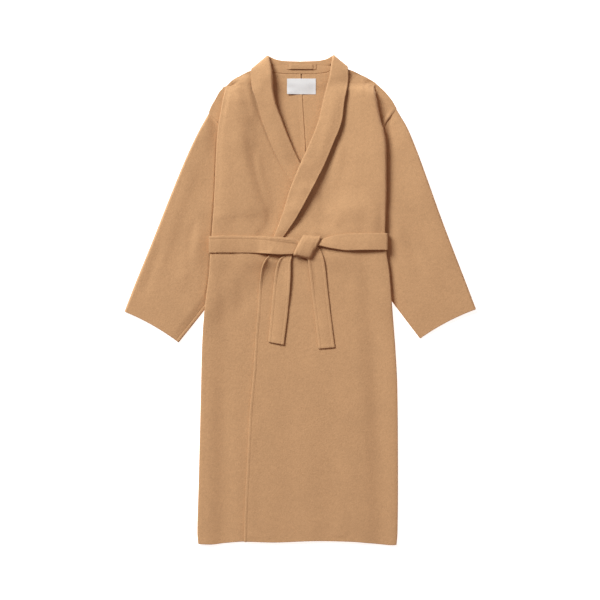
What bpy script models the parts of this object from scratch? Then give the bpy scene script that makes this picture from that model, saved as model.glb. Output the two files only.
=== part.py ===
"""A long wrap coat in double-faced felted wool, laid flat on its back.

Frame: metres, +Z up from the surface it lies on, +Y towards the collar, +X to
the wearer's left. The left front laps over the right one and a belt of the same
cloth is tied over both. The sleeves are drawn down beside the body, so the cloth
at each armhole lies in one deep pleat: it turns under at the body's edge, runs
inwards to an inner fold and comes out again as the shoulder and the sleeve.

Every piece of cloth is worked out as its middle surface, in rows of points, and
then given its wall. Tables are in millimetres. In them a distance "out" is
counted from the coat's centre line towards that side's sleeve.
"""

import math

import bpy
import numpy as np

MM = 0.001

# Cloth
WALL = 2.4  # double-faced wool, pressed
LAYER = 3.0  # from the middle of one layer to the next that lies on it
SEAM = 0.3  # between the edges of two pieces that are sewn together
AIR = 0.9  # more room between two panels that only lie on each other
TAPER = 100.0  # the width over which a panel comes down off a thicker stack
TRIM_WALL = 1.0  # label and hanger loop

# Belt
BELT_WIDTH = 38.0
BELT_Y = 133.0
KNOT_RISE = 13.0

SIDES = {"right": -1.0, "left": 1.0}


def table(columns, *rows):
    """A short table: the column names in one string, then a row of numbers for each section."""
    return {n: np.array([r[i] for r in rows], float) for i, n in enumerate(columns.split())}


# The outer edge of the body: the fold of the pleat above the underarm, the side below it
BODY_EDGE = table(
    "y     right  left",
    (520, 174.0, 177.0),
    (514, 177.4, 178.0),
    (478, 186.5, 183.5),
    (449, 191.8, 189.0),
    (425, 196.0, 194.5),
    (408, 198.2, 200.2),
    (360, 202.1, 206.6),
    (264, 205.9, 207.6),
    (161, 212.2, 203.8),
    (113, 216.0, 207.1),
    (72, 218.4, 213.8),
    (-12, 228.5, 220.3),
    (-72, 234.2, 225.4),
    (-120, 236.6, 229.0),
    (-206, 238.6, 233.3),
    (-307, 241.0, 234.6),
    (-441, 244.3, 235.0),
    (-560, 247.5, 233.8),
    (-588, 245.5, 231.5),
)

# The shoulder seam, from the neck point out to the top of the armhole seam
SHOULDER = table(
    "out   right  left",
    (84, 570.0, 570.0),
    (100, 561.0, 562.0),
    (116, 552.0, 553.5),
    (130, 547.0, 549.5),
    (154, 534.5, 538.0),
    (166, 526.0, 531.5),
    (177, 514.5, 524.5),
    (192, 504.0, 512.0),
    (205, 482.0, 499.5),
    (215, 464.5, 487.5),
    (221, 449.0, 479.5),
    (232, 430.0, 460.0),
)

# The ear of body cloth outside the pleat: where its edge is, at each height
EAR_RIGHT = table(
    "y    out",
    (352, 168.5),
    (372, 171.0),
    (405, 183.5),
    (430, 199.7),
    (449, 220.3),
    (465, 214.6),
    (482, 205.4),
    (504, 192.0),
    (514, 178.0),
)
EAR_LEFT = table(
    "y    out",
    (352, 168.5),
    (372, 171.0),
    (403, 197.0),
    (426, 207.8),
    (441, 217.9),
    (460, 232.0),
    (482, 219.0),
    (503, 201.0),
    (514, 189.0),
    (520, 179.5),
)
EAR = {"right": EAR_RIGHT, "left": EAR_LEFT}
SHOULDER_POINT = {"right": 514.0, "left": 520.0}  # y where the pleat starts
ARMHOLE_TOP = {"right": 449.0, "left": 460.0}  # y where the armhole seam meets the shoulder

# How far the pleat has turned over, by the distance below the shoulder point
PLEAT = table("below turn", (0, 0), (6, 40), (13, 90), (22, 130), (34, 165), (46, 180))

# The inner fold of the pleat, and below it the sleeve's inner edge under the body
INNER_FOLD = table(
    "y     out",
    (520, 177.0),
    (372, 164.0),
    (96, 138.0),
    (60, 166.0),
    (20, 198.0),
    (-21, 230.0),
    (-60, 250.0),
)

# At the side edge: fold radius, how high the back is lifted, and the front above it
SIDE = table(
    "y     radius_right lift_right radius_left lift_left above",
    (352, 4.0, 11.0, 10.2, 23.4, 3.0),
    (225, 4.0, 11.0, 7.6, 18.2, 3.0),
    (185, 3.6, 9.0, 3.8, 13.0, 7.4),
    (104, 3.6, 9.0, 3.6, 10.0, 7.2),
    (60, 3.6, 6.6, 3.6, 8.4, 7.2),
    (10, 3.6, 6.2, 3.6, 8.0, 7.2),
    (-21, 3.6, 5.4, 3.6, 6.6, 7.2),
    (-60, 3.5, 1.8, 3.5, 1.8, 7.0),
    (-100, 3.4, 0.0, 3.4, 0.0, 6.8),
    (-588, 3.2, 0.0, 3.2, 0.0, 6.4),
)

# Length of cloth past the side fold, at the front and at the back, below the ear
TUCK = table(
    "y    front  back",
    (352, 30.0, 30.0),
    (300, 18.0, 18.0),
    (262, 9.0, 6.0),
    (240, 4.0, -4.0),
    (225, 2.0, -16.5),
    (-110, 2.0, -16.5),
    (-300, 2.0, -13.4),
    (-600, 2.0, -13.2),
)

# The fronts' inner edge: the collar seam down to the waist, then the free front edge
FRONT_EDGE = table(
    "y     over    under",
    (570, 84.0, -84.0),
    (545, 81.1, -81.8),
    (515, 77.5, -79.0),
    (478, 67.0, -73.0),
    (432, 57.0, -57.0),
    (371, 33.5, -32.0),
    (320, 9.0, -8.0),
    (298, -0.5, 2.0),
    (264, -12.0, 14.0),
    (214, -27.0, 28.0),
    (159, -47.5, 48.0),
    (130, -60.0, 62.0),
    (110, -72.7, 73.0),
    (96, -84.0, 84.0),
    (75, -92.6, 92.0),
    (45, -97.0, 97.0),
    (-14, -101.0, 101.0),
    (-72, -106.0, 106.0),
    (-168, -112.0, 112.0),
    (-273, -121.4, 121.0),
    (-408, -128.0, 128.0),
    (-509, -133.0, 133.0),
    (-588, -135.0, 135.0),
)

# The hem's own line, across the coat
HEM = table(
    "x     y",
    (-245, -585.8),
    (-214, -587.0),
    (-180, -583.7),
    (-136, -580.3),
    (-63, -582.0),
    (38, -578.6),
    (122, -580.3),
    (172, -584.4),
    (224, -588.6),
    (236, -587.0),
)

# The centre-back seam, which lies a little to the left of the middle line
BACK_SEAM = table(
    "y     x",
    (570, 2.4),
    (544, 2.9),
    (450, 7.5),
    (346, 13.0),
    (200, 9.0),
    (0, 0.0),
    (-600, 0.0),
)

# The back neckline and shoulder, as the top edge of the back panels
BACK_TOP_OUT = (0, 40, 62, 72, 79)
BACK_TOP_Y = (543.3, 544.0, 546.5, 551.0, 559.0)

# The collar, from the centre back round the neck point and down the front.
# roll: its folded edge; edge: its free edge; seam: where it is sewn to the body.
# face: which way the fall faces from the stand, -90 under the back, 90 on the front.
COLLAR_COLUMNS = "roll_out roll_y edge_out edge_y seam_out seam_y face radius lift"
COLLAR_RIGHT = table(
    COLLAR_COLUMNS,
    (0.2, 573.0, 0.2, 526.0, 0.2, 565.8, -90, 1.5, 0.0),
    (40.0, 574.5, 44.0, 528.0, 40.0, 565.3, -90, 1.5, 0.0),
    (60.0, 578.5, 76.0, 536.0, 58.0, 564.5, -88, 1.5, 0.0),
    (70.0, 583.0, 97.0, 545.5, 70.0, 565.0, -80, 1.5, 0.0),
    (75.4, 585.7, 112.0, 553.8, 74.0, 567.5, -70, 1.5, 0.0),
    (76.8, 586.6, 114.6, 556.2, 77.5, 570.5, 0, 3.0, 0.0),
    (75.6, 581.0, 117.0, 553.4, 80.5, 569.0, 55, 3.6, 1.0),
    (71.6, 565.4, 118.4, 543.0, 84.0, 553.0, 85, 5.4, 2.4),
    (67.4, 538.6, 117.5, 525.0, 82.0, 534.0, 90, 7.0, 5.4),
    (65.5, 507.8, 114.8, 506.0, 77.5, 507.0, 90, 7.4, 6.6),
    (60.7, 477.8, 104.5, 479.0, 72.7, 478.0, 90, 6.8, 5.0),
    (44.9, 432.2, 91.0, 432.0, 56.7, 432.0, 90, 4.8, 2.2),
    (19.2, 367.4, 67.0, 368.0, 31.0, 367.6, 90, 3.4, 1.0),
    (-2.9, 320.6, 44.0, 320.6, 8.0, 320.6, 90, 1.6, 0.3),
    (-10.9, 300.0, 32.0, 300.0, 0.0, 300.0, 90, 1.5, 0.0),
    (-25.0, 264.0, 10.0, 264.0, -14.3, 264.0, 90, 1.5, 0.0),
    (-39.0, 214.0, -8.0, 214.0, -28.3, 214.0, 90, 1.5, 0.0),
    (-48.0, 190.0, -22.5, 190.0, -37.4, 190.0, 90, 1.5, 0.0),
    (-57.0, 166.0, -39.0, 166.0, -46.5, 166.0, 90, 1.5, 0.0),
)
COLLAR_LEFT = table(
    COLLAR_COLUMNS,
    (0.2, 573.0, 0.2, 526.0, 0.2, 565.8, -90, 1.5, 0.0),
    (40.0, 574.5, 44.0, 528.0, 40.0, 565.3, -90, 1.5, 0.0),
    (62.0, 578.5, 76.0, 537.0, 58.0, 564.5, -88, 1.5, 0.0),
    (72.0, 583.5, 95.0, 548.0, 70.0, 565.0, -80, 1.5, 0.0),
    (77.8, 586.8, 109.2, 558.6, 74.0, 567.5, -70, 1.5, 0.0),
    (79.5, 587.6, 111.8, 561.4, 78.5, 570.5, 0, 3.0, 0.0),
    (78.4, 581.0, 113.6, 558.0, 81.0, 569.0, 55, 3.8, 2.5),
    (74.5, 562.0, 114.6, 546.0, 84.0, 553.0, 85, 4.4, 6.5),
    (71.5, 540.0, 114.8, 531.0, 82.5, 536.0, 90, 4.6, 8.0),
    (63.5, 510.0, 111.9, 508.0, 75.8, 509.0, 90, 4.6, 9.0),
    (55.0, 476.0, 105.9, 477.0, 66.4, 476.5, 90, 4.6, 9.0),
    (44.9, 432.2, 100.2, 432.0, 56.7, 432.0, 90, 4.6, 9.0),
    (21.1, 371.3, 77.5, 371.0, 33.3, 371.0, 90, 4.6, 10.0),
    (-4.0, 315.0, 53.5, 315.0, 6.4, 315.0, 90, 4.6, 11.0),
    (-10.0, 300.0, 45.9, 300.0, 0.0, 300.0, 90, 4.6, 11.4),
    (-22.0, 270.0, 30.7, 270.0, -10.6, 270.0, 90, 4.6, 12.0),
    (-39.4, 214.0, 0.6, 214.0, -27.3, 214.0, 90, 4.4, 11.0),
    (-48.0, 190.0, -13.6, 190.0, -36.0, 190.0, 90, 4.0, 9.0),
    (-56.0, 168.0, -28.8, 168.0, -44.3, 168.0, 90, 3.2, 5.0),
    (-62.0, 152.0, -40.0, 152.0, -50.0, 152.0, 90, 2.4, 1.6),
    (-65.5, 138.0, -49.0, 138.0, -57.0, 138.0, 90, 1.8, 0.4),
)
COLLAR = {"right": COLLAR_RIGHT, "left": COLLAR_LEFT}

# The sleeves, as rows from the armhole to the cuff: the outer and the inner edge
SLEEVE_COLUMNS = "outer_out outer_y inner_out inner_y puff"
SLEEVE_RIGHT = table(
    SLEEVE_COLUMNS,
    (220.6, 448.0, 169.0, 350.0, 0.0),
    (242.0, 408.0, 164.0, 300.0, 1.0),
    (265.0, 361.0, 158.5, 243.4, 3.0),
    (293.6, 294.0, 150.6, 171.2, 5.0),
    (321.7, 224.4, 139.5, 98.0, 6.0),
    (344.8, 165.5, 166.0, 61.0, 6.5),
    (366.5, 111.5, 197.0, 21.0, 6.5),
    (398.3, 33.4, 252.3, -50.3, 5.1),
    (421.5, -27.0, 292.6, -100.4, 2.6),
)
SLEEVE_LEFT = table(
    SLEEVE_COLUMNS,
    (232.0, 457.4, 169.0, 350.0, 0.0),
    (256.6, 414.0, 164.0, 300.0, 1.0),
    (279.1, 360.0, 158.0, 245.0, 3.0),
    (304.1, 292.0, 150.0, 172.0, 5.0),
    (327.9, 225.0, 143.0, 102.0, 6.0),
    (348.1, 170.0, 172.0, 62.0, 6.5),
    (369.5, 114.0, 200.0, 26.0, 6.5),
    (399.3, 37.0, 247.0, -37.0, 5.0),
    (421.4, -21.0, 288.2, -91.2, 2.5),
)
SLEEVE = {"right": SLEEVE_RIGHT, "left": SLEEVE_LEFT}
CUFF_BOW = 5.0  # the cuff's edge bows towards the shoulder by this much

# The armhole seam that the ear and the sleeve share, from the hidden end up
ARMHOLE = {
    "right": ((168.5, 352), (171.0, 372), (183.5, 405), (199.7, 430), (220.3, 449)),
    "left": ((168.5, 352), (171.0, 372), (197.0, 403), (207.8, 426), (232.0, 460)),
}

# Rows of the body panels up to the shoulder point
ROWS_BELOW = (-588, -555, -400, -240, -120, -60, -10, 40, 78, 104, 133, 161, 185, 225, 245, 300)
ROWS_EAR = {
    "right": (352, 372, 405, 430, 449, 466, 482, 496, 507, 514),
    "left": (352, 372, 403, 426, 460, 474, 488, 502, 513, 520),
}

# The belt: its top and bottom edges and how high it runs over what is beneath
BELT_FRONT = table(
    "x      top    bottom rise",
    (-219, 152.6, 112.6, 0.0),
    (-180, 154.0, 113.4, 0.4),
    (-110, 153.0, 112.8, 0.8),
    (-84, 152.2, 111.2, 4.4),
    (-66, 151.2, 110.0, 6.8),
    (-48, 150.2, 109.0, 6.8),
    (-30, 148.6, 109.4, 4.4),
    (-18, 147.6, 109.8, 3.2),
    (-4, 141.0, 113.0, 3.2),
    (22, 138.0, 116.0, 3.0),
    (46, 140.0, 131.0, 2.4),
    (58, 147.2, 128.0, 1.8),
    (85, 155.0, 122.4, 1.2),
    (112, 158.6, 118.8, 0.8),
    (160, 159.8, 119.6, 0.4),
    (207, 160.2, 119.6, 0.0),
)

# The belt's ends, from the knot down: left and right edges and height
TAIL_COLUMNS = "left_x left_y right_x right_y rise"
TAIL_RIGHT = table(
    TAIL_COLUMNS,
    (-37.0, 107.6, -19.5, 107.0, 1.6),
    (-50.5, 96.5, -23.0, 87.0, 2.2),
    (-58.0, 75.0, -22.8, 65.0, 1.6),
    (-62.8, 44.6, -24.8, 24.0, 0.8),
    (-68.6, -14.2, -29.2, -25.0, 0.3),
    (-76.4, -100.6, -39.4, -107.2, 0.0),
)
TAIL_LEFT = table(
    TAIL_COLUMNS,
    (11.0, 104.0, 41.0, 129.0, 1.2),
    (17.6, 98.0, 50.0, 117.0, 1.4),
    (21.4, 72.0, 58.0, 92.6, 1.4),
    (28.8, 10.6, 65.8, 26.6, 0.8),
    (36.5, -50.2, 74.8, -50.2, 0.3),
    (44.2, -116.6, 83.0, -113.2, 0.0),
)

# The knot: sections across the band that wraps it, from its top to its foot
KNOT = table(
    "left_x left_y right_x right_y rise",
    (8.5, 155.5, 47.0, 152.5, 2.0),
    (4.0, 149.0, 46.0, 145.0, 6.5),
    (-3.0, 137.0, 41.0, 134.0, 8.5),
    (-9.0, 124.0, 33.0, 117.0, 8.0),
    (-14.5, 111.0, 26.0, 103.0, 5.0),
    (-15.0, 107.5, 21.0, 99.5, 1.5),
)

COLOURS = {
    "wool": (0.585, 0.355, 0.18, 1.0),
    "wool_inside": (0.56, 0.335, 0.165, 1.0),
    "label": (0.78, 0.76, 0.73, 1.0),
}


def ease(t):
    """0 to 1 with level ends."""
    t = np.clip(t, 0.0, 1.0)
    return t * t * (3 - 2 * t)


def along(tab, by, name):
    """A smooth curve through two columns of a table that never overshoots them."""
    order = np.argsort(tab[by])
    x, y = tab[by][order], tab[name][order]
    h = np.diff(x)
    d = np.diff(y) / h
    m = np.zeros_like(y)
    m[0], m[-1] = d[0], d[-1]
    for i in range(1, len(y) - 1):
        if d[i - 1] * d[i] > 0:
            a, b = 2 * h[i] + h[i - 1], h[i] + 2 * h[i - 1]
            m[i] = (a + b) / (a / d[i - 1] + b / d[i])

    def value(q):
        q = np.clip(q, x[0], x[-1])
        i = np.clip(np.searchsorted(x, q) - 1, 0, len(x) - 2)
        t = (q - x[i]) / h[i]
        return (
            (2 * t**3 - 3 * t**2 + 1) * y[i]
            + (t**3 - 2 * t**2 + t) * h[i] * m[i]
            + (3 * t**2 - 2 * t**3) * y[i + 1]
            + (t**3 - t**2) * h[i] * m[i + 1]
        )

    return value


def between(points, q):
    """Straight runs through (out, y) pairs listed by rising y: out at height q."""
    return np.interp(q, [p[1] for p in points], [p[0] for p in points])


edge_out = {s: along(BODY_EDGE, "y", s) for s in SIDES}
shoulder_y = {s: along(SHOULDER, "out", s) for s in SIDES}
inner_fold = along(INNER_FOLD, "y", "out")
side_radius = {s: along(SIDE, "y", "radius_" + s) for s in SIDES}
side_lift = {s: along(SIDE, "y", "lift_" + s) for s in SIDES}
side_above = along(SIDE, "y", "above")
tuck = {"front": along(TUCK, "y", "front"), "back": along(TUCK, "y", "back")}
front_edge = {"left": along(FRONT_EDGE, "y", "over"), "right": along(FRONT_EDGE, "y", "under")}
hem_y = along(HEM, "x", "y")
back_seam = along(BACK_SEAM, "y", "x")
pleat_turn = along(PLEAT, "below", "turn")


# Heights. Each layer's height comes from what lies under it.


def fold_path(side, y):
    """Radii, turn and run of the pleat at height y, and its total drop."""
    below = SHOULDER_POINT[side] - y
    turn = math.radians(float(pleat_turn(below))) if y > 352 else math.pi
    radius = float(side_radius[side](y))
    outer_len = max(radius * turn, 7.0)
    inner_len = max(0.5 * LAYER * turn, 3.0)
    outer_r = outer_len / turn if turn > 1e-6 else 1e9
    inner_r = inner_len / turn if turn > 1e-6 else 1e9
    width = float(edge_out[side](y)) - WALL / 2 - float(inner_fold(y))
    full = (turn / math.pi) ** 6
    run = max(0.0, width - LAYER - radius - 0.5 * LAYER) * full
    drop = (outer_r + inner_r) * (1 - math.cos(turn)) + run * math.sin(turn) if turn > 1e-6 else 0.0
    return {"turn": turn, "outer_len": outer_len, "inner_len": inner_len, "outer_r": outer_r,
            "inner_r": inner_r, "run": run, "drop": drop}


DROPS = {
    s: (
        np.array([SHOULDER_POINT[s] - b for b in range(0, 170, 4)][::-1], float),
        np.array([fold_path(s, SHOULDER_POINT[s] - b)["drop"] for b in range(0, 170, 4)][::-1]),
    )
    for s in SIDES
}


def lift_at_side(side, y):
    """How high the back panel's edge is above where it would lie on the surface."""
    y = np.asarray(y, float)
    return np.where(y > 352, np.interp(y, *DROPS[side]), side_lift[side](y))


def belt_band(y):
    """1 where the belt crosses under the back, 0 well above and below."""
    return ease((y - (BELT_Y - BELT_WIDTH / 2 - 42)) / 40) * ease(((BELT_Y + BELT_WIDTH / 2 + 42) - y) / 40)


def stack_share(side, x, y):
    """0 to 1 over the width in which a panel rises onto the thicker stack at its side."""
    out, start = x * SIDES[side], inner_fold(y) - TAPER
    share = ease((out - start) / TAPER)
    if side == "right":
        return share
    # the high pleat holds its panel up evenly, as far as the pleat's own fold
    end = edge_out[side](y) - side_radius[side](y) - 2.0
    even = np.clip((out - start) / (end - start), 0, 1)
    even = 0.75 * even + 0.25 * ease(even)
    return share + (even - share) * ease((y - 214) / 56)


def back_height(x, y):
    x, y = np.asarray(x, float), np.asarray(y, float)
    out = np.abs(x)
    raised = np.zeros_like(x * y)
    share = np.zeros_like(x * y)
    for side, sign in SIDES.items():
        on = stack_share(side, x, y)
        raised = raised + on * lift_at_side(side, y)
        share = share + on
    collar = LAYER * ease((y - (526 + 30 * (out / 116) ** 2 - 34)) / 30) * ease((158 - out) / 36)
    return WALL / 2 + np.maximum(raised + (1 - share) * LAYER * belt_band(y), collar)


def neck_rise(side, x, y):
    """The fronts stand up a little along the collar seam."""
    sign = SIDES[side]
    gap = np.abs(x - front_edge[side](y))
    low = 330 if side == "right" else 200
    return 4.0 * ease(1 - gap / 70) * ease((y - low) / 110) * ease((600 - y) / 60)


def edge_rise(side, x, y):
    """What the front rises above one layer, near the side edge below the underarm."""
    out = x * SIDES[side]
    return (side_above(y) - LAYER) * ease((out - (edge_out[side](y) - 62)) / 50)


def air(x, y):
    """The room between two panels, none where both are folded into the pleat."""
    tight = 0.0
    for side, sign in SIDES.items():
        tight = tight + ease((x * sign - (inner_fold(y) - 30)) / 30) * ease((np.asarray(y, float) - 190) / 40)
    return AIR * (1 - tight)


def under_height(x, y):
    return back_height(x, y) + LAYER + air(x, y) + edge_rise("right", x, y) + neck_rise("right", x, y)


def under_there(x, y):
    """1 over the right front, 0 past its hidden edge."""
    return ease((front_edge["right"](y) + 75 - x) / 50)


def under_collar_there(x, y):
    """1 over the hidden part of the right half of the collar."""
    roll = along(COLLAR_RIGHT_FRONT, "roll_y", "roll_out")(y)
    edge = along(COLLAR_RIGHT_FRONT, "roll_y", "edge_out")(y)
    return ease((x + edge + 24) / 22) * ease((24 - roll - x) / 22) * ease((y - 140) / 22) * ease((372 - y) / 30)


COLLAR_RIGHT_FRONT = {k: v[8:] for k, v in COLLAR_RIGHT.items()}


def over_height(x, y):
    return (
        back_height(x, y)
        + LAYER
        + air(x, y)
        + (LAYER + AIR) * under_there(x, y)
        + LAYER * under_collar_there(x, y)
        + edge_rise("left", x, y)
        + neck_rise("left", x, y)
    )


front_height = {"left": over_height, "right": under_height}


# Meshes


def material(name, colour, roughness):
    made = bpy.data.materials.new(name)
    made.use_nodes = True
    shader = made.node_tree.nodes["Principled BSDF"]
    shader.inputs["Base Color"].default_value = colour
    shader.inputs["Roughness"].default_value = roughness
    shader.inputs["Metallic"].default_value = 0.0
    made.diffuse_color = colour
    return made


def grid_normals(grid):
    """A unit normal for each point of a (rows, columns, 3) grid."""
    down = np.gradient(grid, axis=0)
    across = np.gradient(grid, axis=1)
    normal = np.cross(across, down)
    return normal / np.maximum(np.linalg.norm(normal, axis=2, keepdims=True), 1e-9)


def sheet(name, grid, wall, colour, roughness=0.92, normals=None):
    """A cloth wall on a grid of middle points, closed round its four edges."""
    grid = np.asarray(grid, float)
    normal = grid_normals(grid) if normals is None else normals
    rows, cols = grid.shape[:2]
    points = np.concatenate([(grid + normal * wall / 2).reshape(-1, 3), (grid - normal * wall / 2).reshape(-1, 3)])
    index = np.arange(rows * cols).reshape(rows, cols)
    lower = index + rows * cols
    faces = []
    for r in range(rows - 1):
        for c in range(cols - 1):
            faces.append((index[r, c], index[r, c + 1], index[r + 1, c + 1], index[r + 1, c]))
            faces.append((lower[r, c], lower[r + 1, c], lower[r + 1, c + 1], lower[r, c + 1]))
    rim = [(0, c) for c in range(cols)] + [(r, cols - 1) for r in range(1, rows)]
    rim += [(rows - 1, c) for c in range(cols - 2, -1, -1)] + [(r, 0) for r in range(rows - 2, 0, -1)]
    for a, b in zip(rim, rim[1:] + rim[:1]):
        faces.append((index[a], lower[a], lower[b], index[b]))
    return solid(name, points, faces, colour, roughness)


def tube(name, rings, wall, colour, roughness=0.92):
    """A cloth tube through closed rings of middle points, open at both ends."""
    rings = np.asarray(rings, float)
    rows, cols = rings.shape[:2]
    around = np.roll(rings, -1, axis=1) - np.roll(rings, 1, axis=1)
    normal = np.cross(around, np.gradient(rings, axis=0))
    normal /= np.maximum(np.linalg.norm(normal, axis=2, keepdims=True), 1e-9)
    points = np.concatenate([(rings + normal * wall / 2).reshape(-1, 3), (rings - normal * wall / 2).reshape(-1, 3)])
    index = np.arange(rows * cols).reshape(rows, cols)
    lower = index + rows * cols
    faces = []
    for step in range(cols):
        # round the tube from the middle of its upper side
        c = (step + cols // 4) % cols
        d = (c + 1) % cols
        for r in range(rows - 1):
            faces.append((index[r, c], index[r, d], index[r + 1, d], index[r + 1, c]))
            faces.append((lower[r, c], lower[r + 1, c], lower[r + 1, d], lower[r, d]))
        faces.append((index[0, c], lower[0, c], lower[0, d], index[0, d]))
        faces.append((index[-1, c], index[-1, d], lower[-1, d], lower[-1, c]))
    return solid(name, points, faces, colour, roughness)


def solid(name, points, faces, colour, roughness):
    mesh = bpy.data.meshes.new(name)
    mesh.from_pydata([tuple(p * MM) for p in points], [], [tuple(int(i) for i in f) for f in faces])
    corners = np.array([v.co for v in mesh.vertices])
    mesh.calc_loop_triangles()
    tris = np.array([t.vertices for t in mesh.loop_triangles])
    if np.linalg.det(corners[tris]).sum() < 0:
        mesh.flip_normals()
    mesh.shade_smooth()
    mesh.set_sharp_from_angle(angle=math.radians(50))
    obj = bpy.data.objects.new(name, mesh)
    mesh.materials.append(material(name, COLOURS[colour], roughness))
    bpy.context.scene.collection.objects.link(obj)
    return obj


# The body panels


def path_point(p, s):
    """Where the pleat's path is, s along it from the start of its outer turn.

    Gives (t, drop, normal_t, normal_z), t outwards from the body's edge.
    """
    turn, a, run, c = p["turn"], p["outer_len"], p["run"], p["inner_len"]
    start = -p["outer_r"] * math.sin(min(turn, math.pi / 2)) if turn > 1e-6 else -a
    t, z, angle = start, 0.0, 0.0
    if s <= 0 or turn < 1e-6:
        return start + s, 0.0, 0.0, 1.0
    step = min(s, a)
    angle = turn * step / a
    t += p["outer_r"] * math.sin(angle)
    z -= p["outer_r"] * (1 - math.cos(angle))
    if s > a:
        step = min(s - a, run)
        t += step * math.cos(turn)
        z -= step * math.sin(turn)
    if s > a + run:
        back = turn * min(s - a - run, c) / c
        t += p["inner_r"] * (math.sin(turn) - math.sin(turn - back))
        z -= p["inner_r"] * (math.cos(turn - back) - math.cos(turn))
        angle = turn - back
    if s > a + run + c:
        t += s - a - run - c
    return t, z, math.sin(angle), math.cos(angle)


def path_stations(side, y, layer):
    """The places along the pleat's path that get a column of points."""
    p = fold_path(side, y)
    a, run, c = p["outer_len"], p["run"], p["inner_len"]
    inner_end = a + run + c
    if y >= ROWS_EAR[side][1]:
        reach = between(sorted(zip(EAR[side]["out"], EAR[side]["y"]), key=lambda q: q[1]), y)
        end = inner_end + max(reach - (edge_out[side](y) - WALL / 2) - path_point(p, inner_end)[0], 1.0)
    elif y >= 352:
        end = a + run
    else:
        end = a + tuck[layer](y)
    if end >= inner_end + 0.9:
        places = [0, a / 4, a / 2, 3 * a / 4, a, a + max(run, 0.4), a + run + c * 0.5 + 0.2, inner_end + 0.4,
                  (inner_end + end) / 2 + 0.2, end + 0.2]
    elif y >= 352:
        end -= 3.5 if layer == "front" else 0.0
        places = [0, a / 4, a / 2, 3 * a / 4, a] + [end - k for k in (4.0, 3.0, 2.0, 1.0, 0.0)]
    elif end > a + 1:
        places = [0, a / 4, a / 2, 3 * a / 4] + list(np.linspace(a, end, 6))
    else:
        places = list(np.linspace(min(end, 0) - 10, end, 10)) if end < a / 2 else list(np.linspace(-4, end, 10))
    return p, places


def main_line(side, y, inner, inner_columns, last):
    """Columns from the panel's inner edge to the start of the pleat's path.

    The outer ones are in the same places on every panel, so that layers match.
    """
    fold = min(float(inner_fold(y)), last - 8)
    start = max(fold - TAPER, inner + 24)
    line = [inner + (start - inner) * k / inner_columns for k in range(inner_columns)]
    return line + [start + (fold - start) * k / 3 for k in range(4)]


def body_panel(side, layer, inner_columns, inner_out, height, top_line, top_outs):
    """Rows of middle points of one body panel, from the hem to its shoulder.

    inner_out(y) is the panel's inner edge. top_line(out) is its top edge above
    the shoulder point, and top_outs where the main columns meet it.
    """
    sign = SIDES[side]
    offset = 0.0 if layer == "front" else -LAYER
    rows, normals = [], []
    heights = list(ROWS_BELOW) + list(ROWS_EAR[side])
    for y in heights:
        p, places = path_stations(side, y, layer)
        edge = float(edge_out[side](y)) - WALL / 2
        joined = layer == "front" or places[-1] > 0.5
        first = path_point(p, places[0])[0] + edge
        inner = inner_out(y)
        line = main_line(side, y, inner, inner_columns, first)
        row, normal = [], []
        for out in line:
            x = out * sign
            row.append((x, y, float(height(x, y))))
            normal.append(None)
        top = float(front_height[side](edge * sign, y)) if layer == "front" else float(back_height(edge * sign, y)) + LAYER
        for s in places:
            t, drop, nt, nz = path_point(p, s)
            out = edge + t + offset * nt
            z = top + drop + offset * nz
            if not joined:
                z = float(height(out * sign, y))
            row.append((out * sign, y, z))
            normal.append((nt * sign, 0.0, nz))
        rows.append(row)
        normals.append(normal)
    # The hem follows its own line
    for row in rows[:2]:
        for i, (x, y, z) in enumerate(row):
            row[i] = (x, float(hem_y(x)) if y == heights[0] else y + 0.3 * (float(hem_y(x)) + 584), z)
    # Above the shoulder point the rows close up to the top edge
    base = rows[-1]
    count = len(base)
    tip = 150.0
    top = []
    first_main = len(top_outs)
    for i, (x, y, z) in enumerate(base):
        if i < first_main:
            out = top_outs[i]
        else:
            out = tip - 10 + 10 * (i - first_main + 0.6) / (count - first_main - 0.4)
        top.append((out * sign, float(top_line(out))))
    for k in (1, 2, 3):
        share = k / 3
        row = []
        for (x, y, z), (tx, ty) in zip(base, top):
            px, py = x + (tx - x) * share, y + (ty - y) * share
            row.append((px, py, float(height(px, py))))
        rows.append(row)
        normals.append([None] * count)
    grid = np.array(rows)
    normal = grid_normals(grid)
    if normal[3, 3, 2] < 0:
        normal = -normal
    for r, given in enumerate(normals):
        for c, n in enumerate(given):
            if n is not None and heights[r] > 230:
                normal[r, c] = n
    return grid, normal


def front_panel(side):
    sign = SIDES[side]

    def inner(y):
        return float(front_edge[side](y)) * sign

    grid, normal = body_panel(
        side, "front", 4, inner, front_height[side], shoulder_y[side], (84.0, 90, 96, 103, 110, 118, 127, 134)
    )
    return sheet("front_" + side, grid, WALL, "wool", normals=normal)


def back_panel(side):
    outs, ys = list(BACK_TOP_OUT) + [84.0], list(BACK_TOP_Y) + [569.7]

    def inner(y):
        return float(back_seam(y)) * SIDES[side] + SEAM / 2

    def top_line(out):
        under_collar = 3.5 * ease((out - 84) / 12) * ease((134 - out) / 14)
        return np.interp(out, outs, ys) if out <= 84 else shoulder_y[side](out) - under_collar

    grid, normal = body_panel(
        side, "back", 2, inner, back_height, top_line, (inner(560), 34, 62, 73, 84, 116)
    )
    return sheet("back_" + side, grid, WALL, "wool_inside", normals=normal)


# Sleeves


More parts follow.
